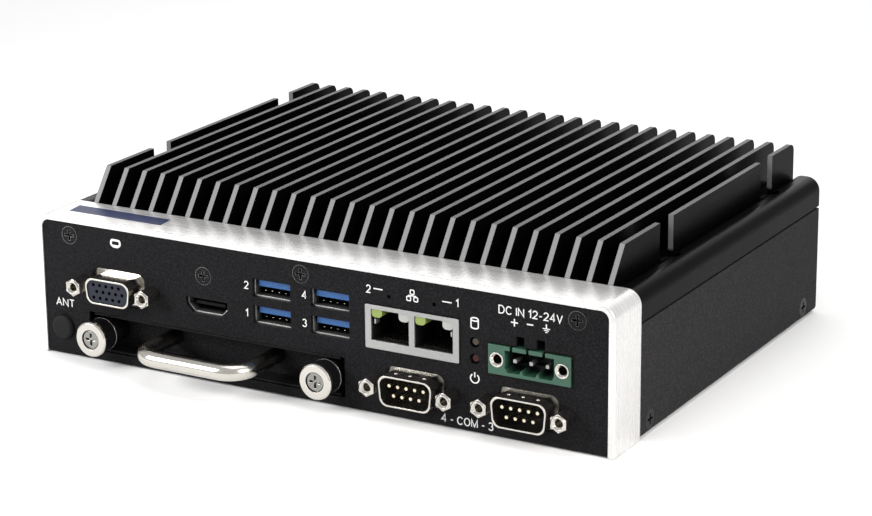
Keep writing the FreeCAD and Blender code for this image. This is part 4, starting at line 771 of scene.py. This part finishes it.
def plusSign(x, z):
    half = signs["plus"]["half"]
    return [levelLine(x, z, half, marks["line"]), uprightLine(x, z, (-half, half), marks["line"])]


def minusSign(x, z):
    return [levelLine(x, z, signs["minus"]["half"], marks["line"])]


def groundSign(x, z):
    size = signs["ground"]
    bars = [levelLine(x, z - drop, half, size["line"]) for drop, half in size["bars"]]
    return [uprightLine(x, z, size["stem"], marks["line"])] + bars


# joins flat shapes given in mm in the plane of the face, stands them up and turns them outward
def inkPiece(name, shapes, stand):
    raised = [([Vector((v.x * mm, v.y * mm, order * marks["step"] * mm)) for v in points], rings)
              for order, (points, rings) in enumerate(shapes)]
    piece = meshPiece(name, *gather(raised), "marking_white")
    body = bmesh.new()
    body.from_mesh(piece.data)
    bmesh.ops.remove_doubles(body, verts=body.verts, dist=marks["weld"])
    for face in body.faces:
        if face.normal.z < 0:
            face.normal_flip()
    body.transform(stand)
    body.to_mesh(piece.data)
    body.free()
    keepPiece(piece, "case")


# what is printed on the front, with its place across and up
frontSigns = ((displaySign, -68.3, 38.0), (networkSign, 33.7, 37.4), (driveSign, 53.65, 32.5),
              (powerSign, 53.6, 16.2), (plusSign, 66.15, 34.65), (minusSign, 71.0, 34.8),
              (groundSign, 76.05, 34.5))
frontDashes = ((22.6, 37.7, 1.5), (44.9, 37.3, 1.5))    # place and half length
frontWords = (("ANT", (-87.95, 16.6), 6.6), ("DC IN 12-24V", (71.15, 37.9), 19.6),
              ("4 - COM - 3", (51.15, 2.75), 16.4), ("2", (-21.95, 32.2), None), ("1", (-22.0, 23.7), None),
              ("4", (-2.1, 32.2), None), ("3", (-2.2, 23.7), None), ("2", (19.45, 37.35), None),
              ("1", (48.2, 37.5), None))
rearPower = 19.5           # heights in mm
rearWords = 13.4


def drawFrontMarks():
    stand = (Matrix.Translation((0, panelFront - marks["lift"] * mm, 0))
             @ Matrix.Rotation(math.radians(90), 4, "X"))
    shapes = []
    for sign, x, z in frontSigns:
        shapes += sign(x, z)
    shapes += [levelLine(x, z, half, marks["fine"]) for x, z, half in frontDashes]
    for word, place, width in frontWords:
        shapes += wordShape(word, place, width)
    inkPiece("front_marks", shapes, stand)


def drawRearMarks():
    face = edges("rear_panel")[1].y + marks["lift"] * mm
    stand = (Matrix.Translation((0, face, 0)) @ Matrix.Rotation(math.pi, 4, "Z")
             @ Matrix.Rotation(math.radians(90), 4, "X"))
    between = (middle("com1_shell", 0) + middle("com2_shell", 0)) / 2
    shapes = powerSign(-middle("power_button", 0) / mm, rearPower)
    shapes += wordShape("2 - COM - 1", (-between / mm, rearWords))
    inkPiece("rear_marks", shapes, stand)


drawFrontMarks()
drawRearMarks()
print("marks printed")

# plain blue field on the band, in mm
badge = {"front": -67.0, "back": -60.8, "left": -89.0, "right": -55.6, "lean": -0.7, "lift": 0.05,
         "thick": 0.05}


def makeBadge():
    top = edges("front_bezel")[1].z + badge["lift"] * mm
    low = top - badge["thick"] * mm
    left, right, front, back = (badge[k] * mm for k in ("left", "right", "front", "back"))
    lean = badge["lean"] * mm
    ring = [(left, front), (right, front), (right + lean, back), (left + lean, back)]
    verts = [(x, y, low) for x, y in ring] + [(x, y, top) for x, y in ring]
    faces = [(3, 2, 1, 0), (4, 5, 6, 7)] + [(i, (i + 1) % 4, 4 + (i + 1) % 4, 4 + i) for i in range(4)]
    keepPiece(meshPiece("badge_field", verts, faces, "badge_blue"), "case")


makeBadge()
print("badge laid")

springs = contactTree()
dimples = dimpleTree()


def cuboid(centre, size):
    x, y, z = centre
    a, b, c = (v / 2 for v in size)
    verts = [(x + i * a, y + j * b, z + k * c) for i in (-1, 1) for j in (-1, 1) for k in (-1, 1)]
    return verts, [(0, 1, 3, 2), (4, 6, 7, 5), (0, 4, 5, 1), (2, 3, 7, 6), (0, 2, 6, 4), (1, 5, 7, 3)]


# a turned ring about an axis along Y; the outline lists places along the axis and radii
def turnedRing(centre, outline, steps=72):
    verts, faces = [], []
    count = len(outline)
    for i in range(steps):
        turn = 2 * math.pi * i / steps
        verts += [(centre[0] + r * math.cos(turn), y, centre[1] + r * math.sin(turn)) for y, r in outline]
        for j in range(count):
            k = (j + 1) % count
            after = (i + 1) % steps * count
            faces.append((i * count + j, after + j, after + k, i * count + k))
    return verts, faces


# each row's dictionary holds the inputs of its tree; back is how far it starts behind the front of its piece,
# up how high above the floor of its mouth, and down how far below the top of its shell
networkContacts = {"Count": 8, "Pitch": 1.02 * mm, "Reach": 6.0 * mm, "Rise": 2.6 * mm, "Belly": 0.3 * mm,
                   "Width": 0.26 * mm, "Thickness": 0.16 * mm, "back": 2.2 * mm, "up": 0.3 * mm}

# grounding springs at the sides of each network mouth
networkSprings = {"spread": 12.2 * mm, "reach": 0.6 * mm, "high": 1.5 * mm, "long": 2.4 * mm, "up": 5.4 * mm,
                  "back": 0.8 * mm, "rounding": 0.15 * mm}


def dressNetworkSockets():
    low, high = edges("lan_liner")
    front = edges("lan_shell")[0].y
    quarter = (high.x - low.x) / 4
    centres = (low.x + quarter, high.x - quarter)
    row = networkContacts
    places = [(x, front + row["back"], low.z + row["up"]) for x in centres]
    growPiece("network_contacts", places, springs, row, "case", "gold_contacts")
    ear = networkSprings
    size = (ear["reach"], ear["long"], ear["high"])
    aside = (ear["spread"] - ear["reach"]) / 2
    along = front + ear["back"] + ear["long"] / 2
    parts = [cuboid((x + side * aside, along, low.z + ear["up"]), size) for x in centres for side in (-1, 1)]
    joinShapes("network_springs", parts, "socket_steel", "case", ear["rounding"])


# bright sleeve at the end of each collar, standing proud of it
sleeve = {"long": 0.4 * mm, "back": 1.05 * mm, "proud": 0.05 * mm, "inner": 4.9 * mm, "lip": 0.1 * mm}


def dressCollars():
    low, high = edges("thumbscrew_ferrules")
    outer = (high.z - low.z) / 2 + sleeve["proud"]
    inner, lip = sleeve["inner"], sleeve["lip"]
    end = panelFront - sleeve["back"]
    start = end - sleeve["long"]
    outline = [(start, inner), (end, inner), (end, outer - lip), (end - lip, outer), (start + lip, outer),
               (start, outer - lip)]
    rings = [turnedRing((middle(knob, 0), middle(knob, 2)), outline)
             for knob in ("left_thumbscrew", "right_thumbscrew")]
    joinShapes("collar_sleeves", rings, "nickel", "drive_tray_body")


# gold contacts under each blue tongue, and the two springs in the floor of each mouth
busContacts = {"Count": 4, "Pitch": 2.3 * mm, "Reach": 8.0 * mm, "Rise": 0.03 * mm, "Belly": -0.2 * mm,
               "Width": 0.55 * mm, "Thickness": 0.1 * mm, "back": 0.4 * mm, "up": 4.0 * mm}
busSprings = {"Count": 2, "Pitch": 5.6 * mm, "Reach": 5.0 * mm, "Rise": 0.1 * mm, "Belly": 1.5 * mm,
              "Width": 1.5 * mm, "Thickness": 0.18 * mm, "back": 1.0 * mm, "up": 0.75 * mm}


def dressBusSockets():
    under, curled = [], []
    for shell, tongues in (("bus_shell_12", "bus_tongues_12"), ("bus_shell_34", "bus_tongues_34")):
        front = edges(shell)[0]
        centre = middle(tongues, 0)
        along = edges(tongues)[0].y + busContacts["back"]
        for floor in (front.z, middle(shell, 2)):
            under.append((centre, along, floor + busContacts["up"]))
            curled.append((centre, front.y + busSprings["back"], floor + busSprings["up"]))
    growPiece("bus_contacts", under, springs, busContacts, "case", "gold_contacts")
    growPiece("bus_springs", curled, springs, busSprings, "case", "socket_steel")


# pressed bumps along the top of each serial connector's shell
shellDimples = {"Count": 3, "Pitch": 4.6 * mm, "Radius": 0.62 * mm, "Flatness": 0.55, "back": 3.4 * mm,
                "down": 1.75 * mm}


def dressShells():
    places = []
    for shell in ("com3_shell", "com4_shell"):
        low, high = edges(shell)
        places.append((middle(shell, 0), low.y + shellDimples["back"], high.z - shellDimples["down"]))
    for shell in ("com1_shell", "com2_shell"):
        high = edges(shell)[1]
        places.append((middle(shell, 0), high.y - shellDimples["back"], high.z - shellDimples["down"]))
    growPiece("shell_dimples", places, dimples, shellDimples, "case", "nickel")


dressNetworkSockets()
dressCollars()
dressBusSockets()
dressShells()
print("sockets dressed")
